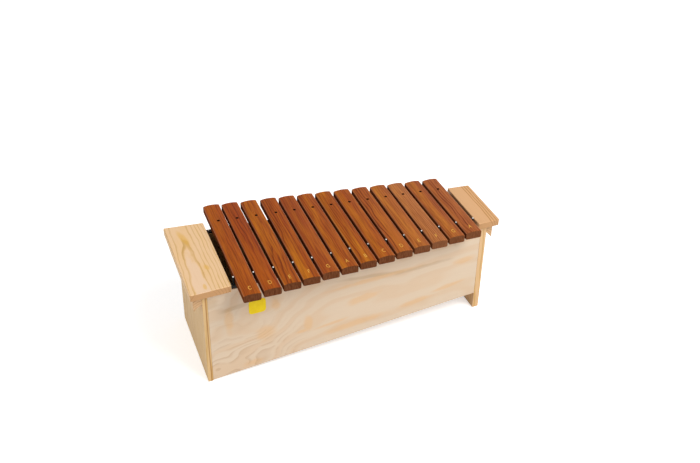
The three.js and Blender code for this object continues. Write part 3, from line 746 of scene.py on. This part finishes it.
class BarSettings(bpy.types.PropertyGroup):
    """Sizes and colours that the bars share."""

    width: length_property("Width", "Width of every bar", 34.5)
    thickness: length_property("Thickness", "Thickness in the middle", 18)
    crown: length_property("Crown", "Rise of the top face", 2.2)
    shoulder: length_property("Shoulder", "Radius of the upper long edges", 1.8)
    foot: length_property("Foot", "Radius of the lower long edges", 2.6)
    end_ease: length_property("End ease", "Rounding of the sawn ends", 1.3)
    arch_share: bpy.props.FloatProperty(
        name="Arch share", description="Share of the length that the arch takes", default=0.44)
    arch_low: length_property("Deepest arch", "Arch depth of the lowest bar", 7)
    arch_high: length_property("Shallowest arch", "Arch depth of the highest bar", 3.5)
    hole_diameter: length_property("Hole", "Diameter of the rear hole", 6)
    wood_colour: colour_property("Wood", "Ground tone of the oiled wood", "#A64E13")
    letter_height: length_property("Letter height", "Height of the note letters", 11)
    letter_squeeze: bpy.props.FloatProperty(
        name="Letter squeeze", description="How narrow the letters are drawn", default=0.64)
    letter_from_end: length_property("Letter place", "From the front end to a letter's middle", 20)
    foil: length_property("Foil", "How proud the foil stands", 0.12)
    foil_colour: colour_property("Foil colour", "Bright tone of the foil", "#ECB440")
    foil_shade: colour_property("Foil shade", "Tone of its broken places", "#D08F20")


class XYLOPHONE_OT_bars(bpy.types.Operator):
    """Make the thirteen tuned bars"""

    bl_idname = "xylophone.bars"
    bl_label = "Tuned bars"

    def execute(self, context):
        sizes = context.scene.xylophone_bars
        tree = bar_tree()
        wood = padauk(sizes)
        for i, note in enumerate(NOTES):
            matrix, length, hole = bar_frame(note)
            far = i / (len(NOTES) - 1)
            values = {
                "Length": length,
                "Width": sizes.width,
                "Thickness": sizes.thickness,
                "Crown": sizes.crown,
                "Shoulder": sizes.shoulder,
                "Foot": sizes.foot,
                "End Ease": sizes.end_ease,
                "Arch Length": length * sizes.arch_share,
                "Arch Depth": sizes.arch_low + (sizes.arch_high - sizes.arch_low) * far,
                "Hole Place": hole,
                "Hole Radius": sizes.hole_diameter / 2,
                "Material": wood,
            }
            values.update(zip(BAR_LOOKS, BAR_WOOD[i] + (float(i + 1),)))
            mesh = grown_mesh(tree, "tuned_bar_" + note, values)
            mesh.transform(matrix)
            stand(mesh, "tuned_bar_" + note, "bar_" + note, "bar_hardwood", "bar_" + note)
        return {"FINISHED"}


def stamped_letter(letter, sizes, foil):
    """A note letter as a closed mesh, bent to the bar's crown, its middle at the origin."""
    text = bpy.data.curves.new("note_" + letter, "FONT")
    text.body = letter
    text.align_x = "CENTER"
    text.extrude = sizes.foil
    text.resolution_u = 6
    holder = in_scene("note_" + letter, text)
    mesh = baked_mesh(holder, "note_" + letter)
    shape = bmesh.new()
    shape.from_mesh(mesh)
    bmesh.ops.remove_doubles(shape, verts=shape.verts, dist=0.01 * MM)
    heights = [v.co.y for v in shape.verts]
    foot, head = min(heights), max(heights)
    scale = sizes.letter_height / (head - foot)
    # The crown is nearly an arc with this radius
    radius = sizes.width ** 2 / 8 / sizes.crown
    for v in shape.verts:
        x = v.co.x * scale * sizes.letter_squeeze
        y = (v.co.y - (head + foot) / 2) * scale
        drop = radius - math.sqrt(radius ** 2 - x ** 2)
        v.co = (x, y, v.co.z - drop)
    bmesh.ops.recalc_face_normals(shape, faces=shape.faces)
    shape.to_mesh(mesh)
    shape.free()
    mesh.materials.clear()
    mesh.materials.append(foil)
    return mesh


class XYLOPHONE_OT_letters(bpy.types.Operator):
    """Stamp a note letter near the front end of each bar"""

    bl_idname = "xylophone.letters"
    bl_label = "Note letters"

    def execute(self, context):
        sizes = context.scene.xylophone_bars
        foil = gold_foil(sizes)
        for note in NOTES:
            matrix, length, _ = bar_frame(note)
            mesh = stamped_letter(note[0].upper(), sizes, foil)
            spot = Vector((0, sizes.letter_from_end - length / 2, sizes.thickness))
            mesh.transform(matrix @ Matrix.Translation(spot))
            stand(mesh, "note_letter_" + note, "bar_" + note, "gold_foil")
        return {"FINISHED"}


# Boards


def eased_board(node, name, ease, material, slot):
    """A board in place of its CAD node, with its edges sanded round."""
    # The node's loose triangles become whole faces
    shape = bmesh.new()
    shape.from_mesh(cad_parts[node].data)
    bmesh.ops.remove_doubles(shape, verts=shape.verts, dist=0.001 * MM)
    bmesh.ops.dissolve_limit(shape, angle_limit=FLAT, verts=shape.verts, edges=shape.edges)
    shape.verts.index_update()
    corners = [v.co[:] for v in shape.verts]
    faces = [[v.index for v in f.verts] for f in shape.faces]
    shape.free()
    mesh = bpy.data.meshes.new(name)
    mesh.from_pydata(corners, [], faces)
    mesh.materials.append(material)
    mesh.shade_smooth()
    holder = in_scene(name, mesh)
    bevel = holder.modifiers.new("sanded edges", "BEVEL")
    bevel.width = ease
    bevel.segments = 4
    bevel.limit_method = "ANGLE"
    bevel.angle_limit = SANDED_CORNER
    bevel.harden_normals = True
    stand(baked_mesh(holder, name), name, BOX_BODY, slot, node)


class BoardSettings(bpy.types.PropertyGroup):
    """The boards' edges and lean, and the label's colours."""

    board_ease: length_property("Board edges", "Rounding of the box's edges", 0.6)
    cap_ease: length_property("Cap edges", "Rounding of the caps' edges", 0.7)
    label_ease: length_property("Label edge", "Rounding of the label's edge", 0.1)
    label_colour: colour_property("Label", "Bright tone of the label", "#F8DA10")
    label_shade: colour_property("Label shade", "Tone of its ripples", "#F0CB00")
    panel_lean: bpy.props.FloatProperty(
        name="Panel lean", description="Angle of each long panel to the instrument's length, in plan",
        default=math.atan(0.067642), subtype="ANGLE")


class XYLOPHONE_OT_boards(bpy.types.Operator):
    """Make the resonator box: two panels, two end boards and the bottom"""

    bl_idname = "xylophone.boards"
    bl_label = "Resonator box"

    def execute(self, context):
        sizes = context.scene.xylophone_boards
        lean = math.degrees(sizes.panel_lean)
        front_flames = [
            (-252, 142, 8, 28, 0),
            (-180, 86, 18, 17, 0),
            (-89, 80, 9, 19, 0),
            (-201, 19, 20, 8, 4),
            (-157, 151, 8, 14, 12),
            (-101, 64, 12, 4, 0),
            (-39, 64, 34, 4, 6),
            (32, 108, 32, 9, 7),
            (154, 61, 34, 7, 8),
            (232, 80, 40, 5, 8),
            (266, 138, 24, 7, 4),
            (15, 48, 60, 8, 4),
            (60, 150, 90, 5, 2),
        ]
        rear_flames = [(-180, 120, 40, 12, 15), (-40, 150, 60, 7, 10), (110, 110, 48, 9, -12),
                       (230, 150, 30, 6, 20), (-120, 60, 24, 20, 0), (20, 70, 70, 6, -6)]
        front_dark_patches = [(-287, 191, 16, 12, 0), (-241, 167, 26, 5, 6), (-155, 180, 18, 5, 8),
                         (40, 160, 70, 4, -6), (170, 149, 60, 4, 2)]
        rear_dark_patches = [(-230, 180, 30, 6, 4), (60, 168, 60, 5, -4), (240, 176, 26, 8, 6)]
        front = plywood("rotary_cut_plywood_front", -lean, front_flames, front_dark_patches, (0, 1, 0))
        rear = plywood("rotary_cut_plywood_rear", lean, rear_flames, rear_dark_patches, (0, -1, 0))
        under = plywood("rotary_cut_plywood_bottom", 0.0, rear_flames, rear_dark_patches, (0, 0, 1))
        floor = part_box("bottom_board")[1].z / MM
        left = pine("planed_pine_left_end", "Z", (-226, 40, 0), (1, -2, 0), 6.37, tone="#DEB880",
                    core="#E2C292", vein=-302.8, inside=(1, 0, 0), floor=floor)
        right = pine("planed_pine_right_end", "Z", (240, 30, 0), (1, 1, 0), 6.0, tone="#E2B987",
                     core="#E6C094", inside=(-1, 0, 0), floor=floor)
        for node, wood, slot in [
            ("front_panel", front, "plywood"),
            ("rear_panel", rear, "plywood"),
            ("bottom_board", under, "plywood"),
            ("left_end_board", left, "pine"),
            ("right_end_board", right, "pine"),
        ]:
            eased_board(node, "box_" + node, sizes.board_ease, wood, slot)
        return {"FINISHED"}


class XYLOPHONE_OT_caps(bpy.types.Operator):
    """Make the end caps and the grip rails under them"""

    bl_idname = "xylophone.caps"
    bl_label = "Caps and grip rails"

    def execute(self, context):
        sizes = context.scene.xylophone_boards
        resin = [(-304, 72, 6, 26, 10), (-282, -39, 4, 8, 10), (-300, -98, 3, 8, 0)]
        left = pine("planed_pine_left_cap", "Y", (-306, 0, 202.7), (1.72, 0, 0), 5.9, first=27.2,
                    spots=resin)
        right = pine("planed_pine_right_cap", "Y", (268, 0, 205), (0.4, 0, 0.5), 5.6, first=53.0,
                     tone="#D8A673", core="#DCAB7B", late="#B47E42", strength=1.1)
        left_rail, right_rail = (
            pine(name, "Y", (x, 0, 160), (0.5, 0, 0), 5.0, tone="#DDB682", sawn="#D6AE82")
            for name, x in (("planed_pine_left_rail", -300), ("planed_pine_right_rail", 290)))
        for node, wood in [
            ("left_cap", left),
            ("right_cap", right),
            ("left_grip_rail", left_rail),
            ("right_grip_rail", right_rail),
        ]:
            eased_board(node, "sanded_" + node, sizes.cap_ease, wood, "pine")
        return {"FINISHED"}


class XYLOPHONE_OT_label(bpy.types.Operator):
    """Stick the blank label on the front panel"""

    bl_idname = "xylophone.label"
    bl_label = "Label"

    def execute(self, context):
        sizes = context.scene.xylophone_boards
        eased_board("front_label", "blank_label", sizes.label_ease, vinyl(sizes), "label_vinyl")
        return {"FINISHED"}


class XYLOPHONE_OT_dowels(bpy.types.Operator):
    """Finish the dowels that hold the caps"""

    bl_idname = "xylophone.dowels"
    bl_label = "Cap dowels"

    def execute(self, context):
        wood = beech()
        for name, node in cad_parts.items():
            if name.endswith("_cap_dowel"):
                for slot in node.material_slots:
                    slot.material = wood
        return {"FINISHED"}


# Strips, pins and sleeves


class HardwareSettings(bpy.types.PropertyGroup):
    """Sizes and colours of the strips, pins, tacks and sleeves."""

    strip_round: length_property("Strip edge", "Radius of the strips' long edges", 1.4)
    strip_swell: length_property("Strip swell", "How far the felt rises between two bars", 0.35)
    pressed_length: length_property("Pressed length", "Length that a tack presses down", 12)
    pressed_height: length_property("Pressed height", "Height of the felt under a tack", 4.6)
    pressed_slope: length_property("Pressed slope", "Length of the slope up from it", 5)
    felt_colour: colour_property("Felt", "Tone of the felt's nap", "#231E1B")
    felt_shade: colour_property("Felt shade", "Tone between its tufts", "#0D0B0A")
    pin_diameter: length_property("Pin", "Diameter of the pins", 2.5)
    head_diameter: length_property("Head", "Diameter of a pin's head", 3.2)
    head_height: length_property("Head height", "Height of a pin's head", 1.6)
    sleeve_diameter: length_property("Sleeve", "Outer diameter of a pin's rubber sleeve", 4.4)
    sleeve_bore: length_property("Sleeve bore", "Bore of a sleeve", 3.1)
    sleeve_gap: length_property("Sleeve gap", "Gap above and below a sleeve", 0.3)
    sleeve_colour: colour_property("Sleeve colour", "Tone of the sleeves", "#121213")
    sleeve_shade: colour_property("Sleeve shade", "Tone of their draw lines", "#070707")


def rounded_section(tree, width, height, radius, steps):
    """A rectangle with rounded corners, which is swept along a path."""
    outline = {"Width": width, "Height": height}
    section = add(tree, "GeometryNodeCurvePrimitiveQuadrilateral", outline)
    rounding = {"Curve": section, "Radius": radius, "Count": steps}
    return add(tree, "GeometryNodeFilletCurve", rounding, mode="POLY")


def row_of(tree, given, piece):
    """Ends a tree with copies of a piece at even steps from one place to another."""
    ends = {"Count": given["Count"], "Start Location": given["First"], "Offset": given["Last"]}
    row = add(tree, "GeometryNodeMeshLine", ends, mode="END_POINTS")
    copies = add(tree, "GeometryNodeInstanceOnPoints", {"Points": row, "Instance": piece})
    return close_tree(tree, copies, given["Material"])


def strip_tree():
    """A felt strip along a line, rounded, swelling between the bars and pressed flat at its ends."""
    tree, given = new_tree("felt_strip", {
        "Start": ("Vector", None),
        "End": ("Vector", None),
        "Width": ("Float", 0.009),
        "Height": ("Float", 0.008),
        "Round": ("Float", 0.001),
        "Swell": ("Float", 0.0),
        "Pitch": ("Float", 0.04),
        "First Bar": ("Float", 0.0),
        "Pressed Height": ("Float", 0.005),
        "Pressed Length": ("Float", 0.01),
        "Pressed Slope": ("Float", 0.005),
        "Material": ("Material", None),
    })
    line = add(tree, "GeometryNodeCurvePrimitiveLine", {"Start": given["Start"], "End": given["End"]})
    # A section every two or three millimetres, close enough for the swell
    path = add(tree, "GeometryNodeResampleCurve", {"Curve": line, "Count": 260})
    rounded = rounded_section(tree, given["Width"], given["Height"], given["Round"], 4)
    sweep = {"Curve": path, "Profile Curve": rounded, "Fill Caps": True}
    strip = add(tree, "GeometryNodeCurveToMesh", sweep)

    # How high the felt stands at each place
    here = add(tree, "GeometryNodeInputPosition")
    x, y, z = (add(tree, "ShaderNodeSeparateXYZ", {0: here}, out=i) for i in range(3))
    start_x = add(tree, "ShaderNodeSeparateXYZ", {0: given["Start"]})
    end_x = add(tree, "ShaderNodeSeparateXYZ", {0: given["End"]})
    from_start = add(tree, MATH, {0: x, 1: start_x}, operation="SUBTRACT")
    from_end = add(tree, MATH, {0: end_x, 1: x}, operation="SUBTRACT")
    nearest = add(tree, MATH, {0: from_start, 1: from_end}, operation="MINIMUM")
    sloping = add(tree, MATH, {0: given["Pressed Length"], 1: given["Pressed Slope"]}, operation="ADD")
    slope = {
        0: nearest,
        1: given["Pressed Length"],
        2: sloping,
        3: given["Pressed Height"],
        4: given["Height"],
    }
    level = add(tree, RANGE, slope, interpolation_type="SMOOTHSTEP")
    # Between two bars the felt is free and rises
    from_bar = add(tree, MATH, {0: x, 1: given["First Bar"]}, operation="SUBTRACT")
    bars = add(tree, MATH, {0: from_bar, 1: given["Pitch"]}, operation="DIVIDE")
    angle = add(tree, MATH, {0: bars, 1: math.tau}, operation="MULTIPLY")
    wave = add(tree, MATH, {0: angle}, operation="COSINE")
    rise = add(tree, RANGE, {0: wave, 1: 0.3, 2: -0.9}, interpolation_type="SMOOTHSTEP")
    swollen = add(tree, MATH, {0: rise, 1: given["Swell"], 2: level}, operation="MULTIPLY_ADD")
    ratio = add(tree, MATH, {0: swollen, 1: given["Height"]}, operation="DIVIDE")
    start_z = add(tree, "ShaderNodeSeparateXYZ", {0: given["Start"]}, out=2)
    half = add(tree, MATH, {0: given["Height"], 1: 0.5}, operation="MULTIPLY")
    base = add(tree, MATH, {0: start_z, 1: half}, operation="SUBTRACT")
    above = add(tree, MATH, {0: z, 1: base}, operation="SUBTRACT")
    new_z = add(tree, MATH, {0: above, 1: ratio, 2: base}, operation="MULTIPLY_ADD")
    moved = add(tree, "ShaderNodeCombineXYZ", {0: x, 1: y, 2: new_z})
    shaped = add(tree, "GeometryNodeSetPosition", {"Geometry": strip, "Position": moved})
    return close_tree(tree, shaped, given["Material"])


class XYLOPHONE_OT_strips(bpy.types.Operator):
    """Lay the two felt strips that the bars rest on"""

    bl_idname = "xylophone.strips"
    bl_label = "Felt strips"

    def execute(self, context):
        sizes = context.scene.xylophone_hardware
        lean = context.scene.xylophone_boards.panel_lean
        tree = strip_tree()
        cloth = felt(sizes)
        pitch = centre("rear_pin_d4").x - centre("rear_pin_c4").x
        for side, sign in (("front", -1), ("rear", 1)):
            node = side + "_bar_strip"
            low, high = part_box(node)
            # The box holds the slanted strip, whose own width is the box's less the slant's rise
            run = high.x - low.x
            width = (high.y - low.y - run * math.tan(lean)) * math.cos(lean)
            wide_y = (high.y if sign > 0 else low.y) - sign * width / 2 / math.cos(lean)
            narrow_y = wide_y - sign * run * math.tan(lean)
            middle_z = (low.z + high.z) / 2
            pressed = side == "rear"
            values = {
                "Start": (low.x, wide_y, middle_z),
                "End": (high.x, narrow_y, middle_z),
                "Width": width,
                "Height": high.z - low.z,
                "Round": sizes.strip_round,
                "Swell": sizes.strip_swell,
                "Pitch": pitch,
                "First Bar": centre("rear_pin_c4").x,
                "Pressed Height": sizes.pressed_height if pressed else high.z - low.z,
                "Pressed Length": sizes.pressed_length,
                "Pressed Slope": sizes.pressed_slope,
                "Material": cloth,
            }
            mesh = grown_mesh(tree, "felt_" + node, values)
            stand(mesh, "felt_" + node, BOX_BODY, "black_felt", node)
        return {"FINISHED"}


def pin_tree():
    """A row of pins: a shank with a domed head, turned round its own axis, at even steps along a line."""
    tree, given = new_tree("pin_row", {
        "First": ("Vector", None),
        "Last": ("Vector", None),
        "Count": ("Int", 2),
        "Bottom": ("Float", 0.0),
        "Top": ("Float", 0.04),
        "Radius": ("Float", 0.001),
        "Head Radius": ("Float", 0.002),
        "Head Height": ("Float", 0.001),
        "Material": ("Material", None),
    })
    low = add(tree, "ShaderNodeCombineXYZ", {2: given["Bottom"]})
    high = add(tree, "ShaderNodeCombineXYZ", {2: given["Top"]})
    line = add(tree, "GeometryNodeCurvePrimitiveLine", {"Start": high, "End": low})
    even = add(tree, "GeometryNodeResampleCurve", {"Curve": line, "Count": 26})
    # Rings of the mesh gather at the head
    share = add(tree, "GeometryNodeSplineParameter")
    cubed = add(tree, MATH, {0: share, 1: 3.0}, operation="POWER")
    long = add(tree, MATH, {0: given["Top"], 1: given["Bottom"]}, operation="SUBTRACT")
    below = add(tree, MATH, {0: cubed, 1: long}, operation="MULTIPLY")
    z = add(tree, MATH, {0: given["Top"], 1: below}, operation="SUBTRACT")
    ring = add(tree, "ShaderNodeCombineXYZ", {2: z})
    path = add(tree, "GeometryNodeSetPosition", {"Geometry": even, "Position": ring})
    # The dome is a quarter round, then the shank goes on
    ring_z = add(tree, "ShaderNodeSeparateXYZ", {0: add(tree, "GeometryNodeInputPosition")}, out=2)
    depth = add(tree, MATH, {0: given["Top"], 1: ring_z}, operation="SUBTRACT")
    part = add(tree, MATH, {0: depth, 1: given["Head Height"]}, operation="DIVIDE")
    rest = add(tree, MATH, {0: 1.0, 1: part}, operation="SUBTRACT", use_clamp=True)
    squared = add(tree, MATH, {0: rest, 1: rest}, operation="MULTIPLY")
    # Slightly over one, so that the topmost ring keeps a little width
    round_ = add(tree, MATH, {0: 1.03, 1: squared}, operation="SUBTRACT")
    root = add(tree, MATH, {0: round_}, operation="SQRT")
    dome = add(tree, MATH, {0: root, 1: given["Head Radius"]}, operation="MULTIPLY")
    shank = add(tree, MATH, {0: part, 1: 1.0}, operation="GREATER_THAN")
    size = add(tree, MIX, {0: shank, 2: dome, 3: given["Radius"]}, data_type="FLOAT")
    circle = add(tree, "GeometryNodeCurvePrimitiveCircle", {"Resolution": 18, "Radius": 1.0})
    sweep = {"Curve": path, "Profile Curve": circle, "Scale": size, "Fill Caps": True}
    pin = add(tree, "GeometryNodeCurveToMesh", sweep)
    return row_of(tree, given, pin)


def sleeve_tree():
    """A row of short tubes with rounded rims, at even steps along a line."""
    tree, given = new_tree("sleeve_row", {
        "First": ("Vector", None),
        "Last": ("Vector", None),
        "Count": ("Int", 2),
        "Outer Radius": ("Float", 0.002),
        "Bore Radius": ("Float", 0.001),
        "Height": ("Float", 0.014),
        "Material": ("Material", None),
    })
    both = add(tree, MATH, {0: given["Outer Radius"], 1: given["Bore Radius"]}, operation="ADD")
    middle = add(tree, MATH, {0: both, 1: 0.5}, operation="MULTIPLY")
    wall = add(tree, MATH, {0: given["Outer Radius"], 1: given["Bore Radius"]}, operation="SUBTRACT")
    round_ = add(tree, MATH, {0: wall, 1: 0.45}, operation="MULTIPLY")
    path = add(tree, "GeometryNodeCurvePrimitiveCircle", {"Resolution": 20, "Radius": middle})
    rim = rounded_section(tree, wall, given["Height"], round_, 3)
    tube = add(tree, "GeometryNodeCurveToMesh", {"Curve": path, "Profile Curve": rim})
    return row_of(tree, given, tube)


class XYLOPHONE_OT_pins(bpy.types.Operator):
    """Drive the front pins, the rear pins and the tacks"""

    bl_idname = "xylophone.pins"
    bl_label = "Pins and tacks"

    def execute(self, context):
        sizes = context.scene.xylophone_hardware
        tree = pin_tree()
        metal = steel()
        front = [f"front_pin_{i + 1:02d}" for i in range(len(NOTES) + 1)]
        rear = ["rear_pin_" + note for note in NOTES]
        tacks = ["left_strip_tack", "right_strip_tack"]
        # The rear pins have no heads, only rounded tips
        rows = [
            ("front_pins", front, sizes.head_diameter / 2, sizes.head_height),
            ("rear_pins", rear, sizes.pin_diameter / 2, sizes.pin_diameter / 4),
            ("strip_tacks", tacks, sizes.head_diameter / 2, sizes.head_height),
        ]
        for name, nodes, head_radius, head_height in rows:
            first = centre(nodes[0])
            last = centre(nodes[-1])
            low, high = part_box(nodes[0])
            values = {
                "First": (first.x, first.y, 0),
                "Last": (last.x, last.y, 0),
                "Count": len(nodes),
                "Bottom": low.z,
                "Top": high.z,
                "Radius": sizes.pin_diameter / 2,
                "Head Radius": head_radius,
                "Head Height": head_height,
                "Material": metal,
            }
            stand(grown_mesh(tree, name, values), name, BOX_BODY, "pin_steel", *nodes)
        return {"FINISHED"}


class XYLOPHONE_OT_sleeves(bpy.types.Operator):
    """Slip a rubber sleeve over each front pin"""

    bl_idname = "xylophone.sleeves"
    bl_label = "Pin sleeves"

    def execute(self, context):
        sizes = context.scene.xylophone_hardware
        first = centre("front_pin_01")
        last = centre(f"front_pin_{len(NOTES) + 1:02d}")
        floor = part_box("front_bar_strip")[1].z + sizes.sleeve_gap + sizes.strip_swell
        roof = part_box("front_pin_01")[1].z - sizes.head_height - sizes.sleeve_gap
        middle = (floor + roof) / 2
        values = {
            "First": (first.x, first.y, middle),
            "Last": (last.x, last.y, middle),
            "Count": len(NOTES) + 1,
            "Outer Radius": sizes.sleeve_diameter / 2,
            "Bore Radius": sizes.sleeve_bore / 2,
            "Height": roof - floor,
            "Material": rubber(sizes),
        }
        mesh = grown_mesh(sleeve_tree(), "pin_sleeves", values)
        stand(mesh, "pin_sleeves", BOX_BODY, "pin_tube_rubber")
        return {"FINISHED"}


# Stage


class StageSettings(bpy.types.PropertyGroup):
    """Camera, floor and light."""

    camera_place: bpy.props.FloatVectorProperty(
        name="Camera", description="Where the camera stands", subtype="TRANSLATION",
        default=(-0.57325, -1.52710, 1.31872))
    camera_yaw: bpy.props.FloatProperty(
        name="Yaw", description="Turn from +Y towards +X", default=math.radians(21.46321),
        subtype="ANGLE")
    camera_pitch: bpy.props.FloatProperty(
        name="Pitch", description="Tilt down", default=math.radians(33.85864), subtype="ANGLE")
    camera_roll: bpy.props.FloatProperty(
        name="Roll", description="Roll to the right", default=math.radians(1.35636), subtype="ANGLE")
    lens: bpy.props.FloatProperty(
        name="Lens", description=f"Focal length in millimetres, for a sensor {SENSOR_WIDTH_MM} mm wide",
        default=49.459)
    floor_colour: colour_property("Floor", "Colour of the paper that it stands on", "#F2F2F2")
    floor_glow: bpy.props.FloatProperty(
        name="Floor glow", description="Light added to the floor for the camera alone", default=0.52)
    sky_light: bpy.props.FloatProperty(
        name="Sky light", description="Level of the even light from all round", default=0.46)
    key_watts: bpy.props.FloatProperty(
        name="Key light", description="Power of the large soft lamp", default=98.0, unit="POWER")
    fill_watts: bpy.props.FloatProperty(
        name="Fill light", description="Power of the lamp on the left", default=12.0, unit="POWER")


def seen_directly(tree):
    """One for camera, glossy and transmission rays, and zero for rays that only bring light."""
    path = add(tree, "ShaderNodeLightPath", out=None)
    kinds = ("Camera", "Glossy", "Transmission")
    camera, glossy, through = (path.outputs[f"Is {kind} Ray"] for kind in kinds)
    either = add(tree, MATH, {0: camera, 1: glossy}, operation="MAXIMUM")
    return add(tree, MATH, {0: either, 1: through}, operation="MAXIMUM")


def soft_lamp(name, watts, size, place, target):
    """A large square lamp that looks at a point."""
    lamp = bpy.data.lights.new(name, "AREA")
    lamp.energy = watts
    lamp.size = size
    holder = in_scene(name, lamp)
    holder.location = place
    holder.rotation_euler = (Vector(target) - Vector(place)).to_track_quat("-Z", "Y").to_euler()


class XYLOPHONE_OT_stage(bpy.types.Operator):
    """Set up the floor, the light and the camera"""

    bl_idname = "xylophone.stage"
    bl_label = "Stage"

    def execute(self, context):
        scene = context.scene
        stage = scene.xylophone_stage
        scene.view_settings.view_transform = "Standard"

        # White paper sweep: it takes the shadow, and shows white to the camera
        paper, tree = start_material("matt_white_paper")
        white = add(tree, "ShaderNodeBsdfDiffuse", {"Color": stage.floor_colour})
        strength = add(tree, MATH, {0: seen_directly(tree), 1: stage.floor_glow}, operation="MULTIPLY")
        glow = add(tree, "ShaderNodeEmission", {"Strength": strength})
        both = add(tree, "ShaderNodeAddShader", {0: white, 1: glow})
        add(tree, "ShaderNodeOutputMaterial", {"Surface": both}, out=None)
        mesh = bpy.data.meshes.new("floor")
        corners = [(-1, -1, 0), (1, -1, 0), (1, 1, 0), (-1, 1, 0)]
        mesh.from_pydata([FLOOR_REACH * Vector(corner) for corner in corners], [], [(0, 1, 2, 3)])
        mesh.materials.append(paper)
        floor = in_scene("floor", mesh)

        world = bpy.data.worlds.new("white_studio")
        world.use_nodes = True
        tree = world.node_tree
        tree.nodes.clear()
        strength = add(tree, RANGE, {0: seen_directly(tree), 3: stage.sky_light, 4: 1.0})
        sky = add(tree, "ShaderNodeBackground", {"Color": (1, 1, 1, 1), "Strength": strength})
        add(tree, "ShaderNodeOutputWorld", {"Surface": sky}, out=None)
        scene.world = world

        # Both lamps look at a point within the box
        target = (0, 0, 0.15)
        soft_lamp("key_lamp", stage.key_watts, size=2.0, place=(1.5, -2.0, 3.0), target=target)
        soft_lamp("fill_lamp", stage.fill_watts, size=1.6, place=(-2.4, 0.4, 2.0), target=target)

        forward = Vector((
            math.sin(stage.camera_yaw) * math.cos(stage.camera_pitch),
            math.cos(stage.camera_yaw) * math.cos(stage.camera_pitch),
            -math.sin(stage.camera_pitch),
        ))
        level_right = Vector((math.cos(stage.camera_yaw), -math.sin(stage.camera_yaw), 0))
        level_up = level_right.cross(forward)
        right = math.cos(stage.camera_roll) * level_right + math.sin(stage.camera_roll) * level_up
        above = math.cos(stage.camera_roll) * level_up - math.sin(stage.camera_roll) * level_right
        matrix = Matrix((right, above, -forward)).transposed().to_4x4()
        matrix.translation = stage.camera_place
        lens = bpy.data.cameras.new("photo_camera")
        lens.lens = stage.lens
        lens.sensor_width = SENSOR_WIDTH_MM
        camera = in_scene("photo_camera", lens)
        camera.matrix_world = matrix
        scene.camera = camera
        return {"FINISHED"}


class XYLOPHONE_PT_pieces(bpy.types.Panel):
    """Lists the steps, and the sizes and colours that may be changed"""

    bl_idname = "XYLOPHONE_PT_pieces"
    bl_label = "Alto Xylophone"
    bl_space_type = "VIEW_3D"
    bl_region_type = "UI"
    bl_category = "Xylophone"

    def draw(self, context):
        for step in STEPS:
            self.layout.operator(step.bl_idname)
        for _, attribute in SETTINGS:
            group = getattr(context.scene, attribute)
            box = self.layout.box()
            for name in group.__annotations__:
                box.prop(group, name)


STEPS = [
    XYLOPHONE_OT_stage,
    XYLOPHONE_OT_boards,
    XYLOPHONE_OT_caps,
    XYLOPHONE_OT_label,
    XYLOPHONE_OT_dowels,
    XYLOPHONE_OT_strips,
    XYLOPHONE_OT_pins,
    XYLOPHONE_OT_sleeves,
    XYLOPHONE_OT_bars,
    XYLOPHONE_OT_letters,
]
SETTINGS = [
    (BarSettings, "xylophone_bars"),
    (BoardSettings, "xylophone_boards"),
    (HardwareSettings, "xylophone_hardware"),
    (StageSettings, "xylophone_stage"),
]


def register():
    for group, attribute in SETTINGS:
        bpy.utils.register_class(group)
        setattr(bpy.types.Scene, attribute, bpy.props.PointerProperty(type=group))
    for step in STEPS:
        bpy.utils.register_class(step)
    bpy.utils.register_class(XYLOPHONE_PT_pieces)


def unregister():
    bpy.utils.unregister_class(XYLOPHONE_PT_pieces)
    for step in reversed(STEPS):
        bpy.utils.unregister_class(step)
    for group, attribute in reversed(SETTINGS):
        delattr(bpy.types.Scene, attribute)
        bpy.utils.unregister_class(group)


def main():
    register()
    for step in STEPS:
        family, name = step.bl_idname.split(".")
        getattr(getattr(bpy.ops, family), name)()


if __name__ == "__main__":
    main()
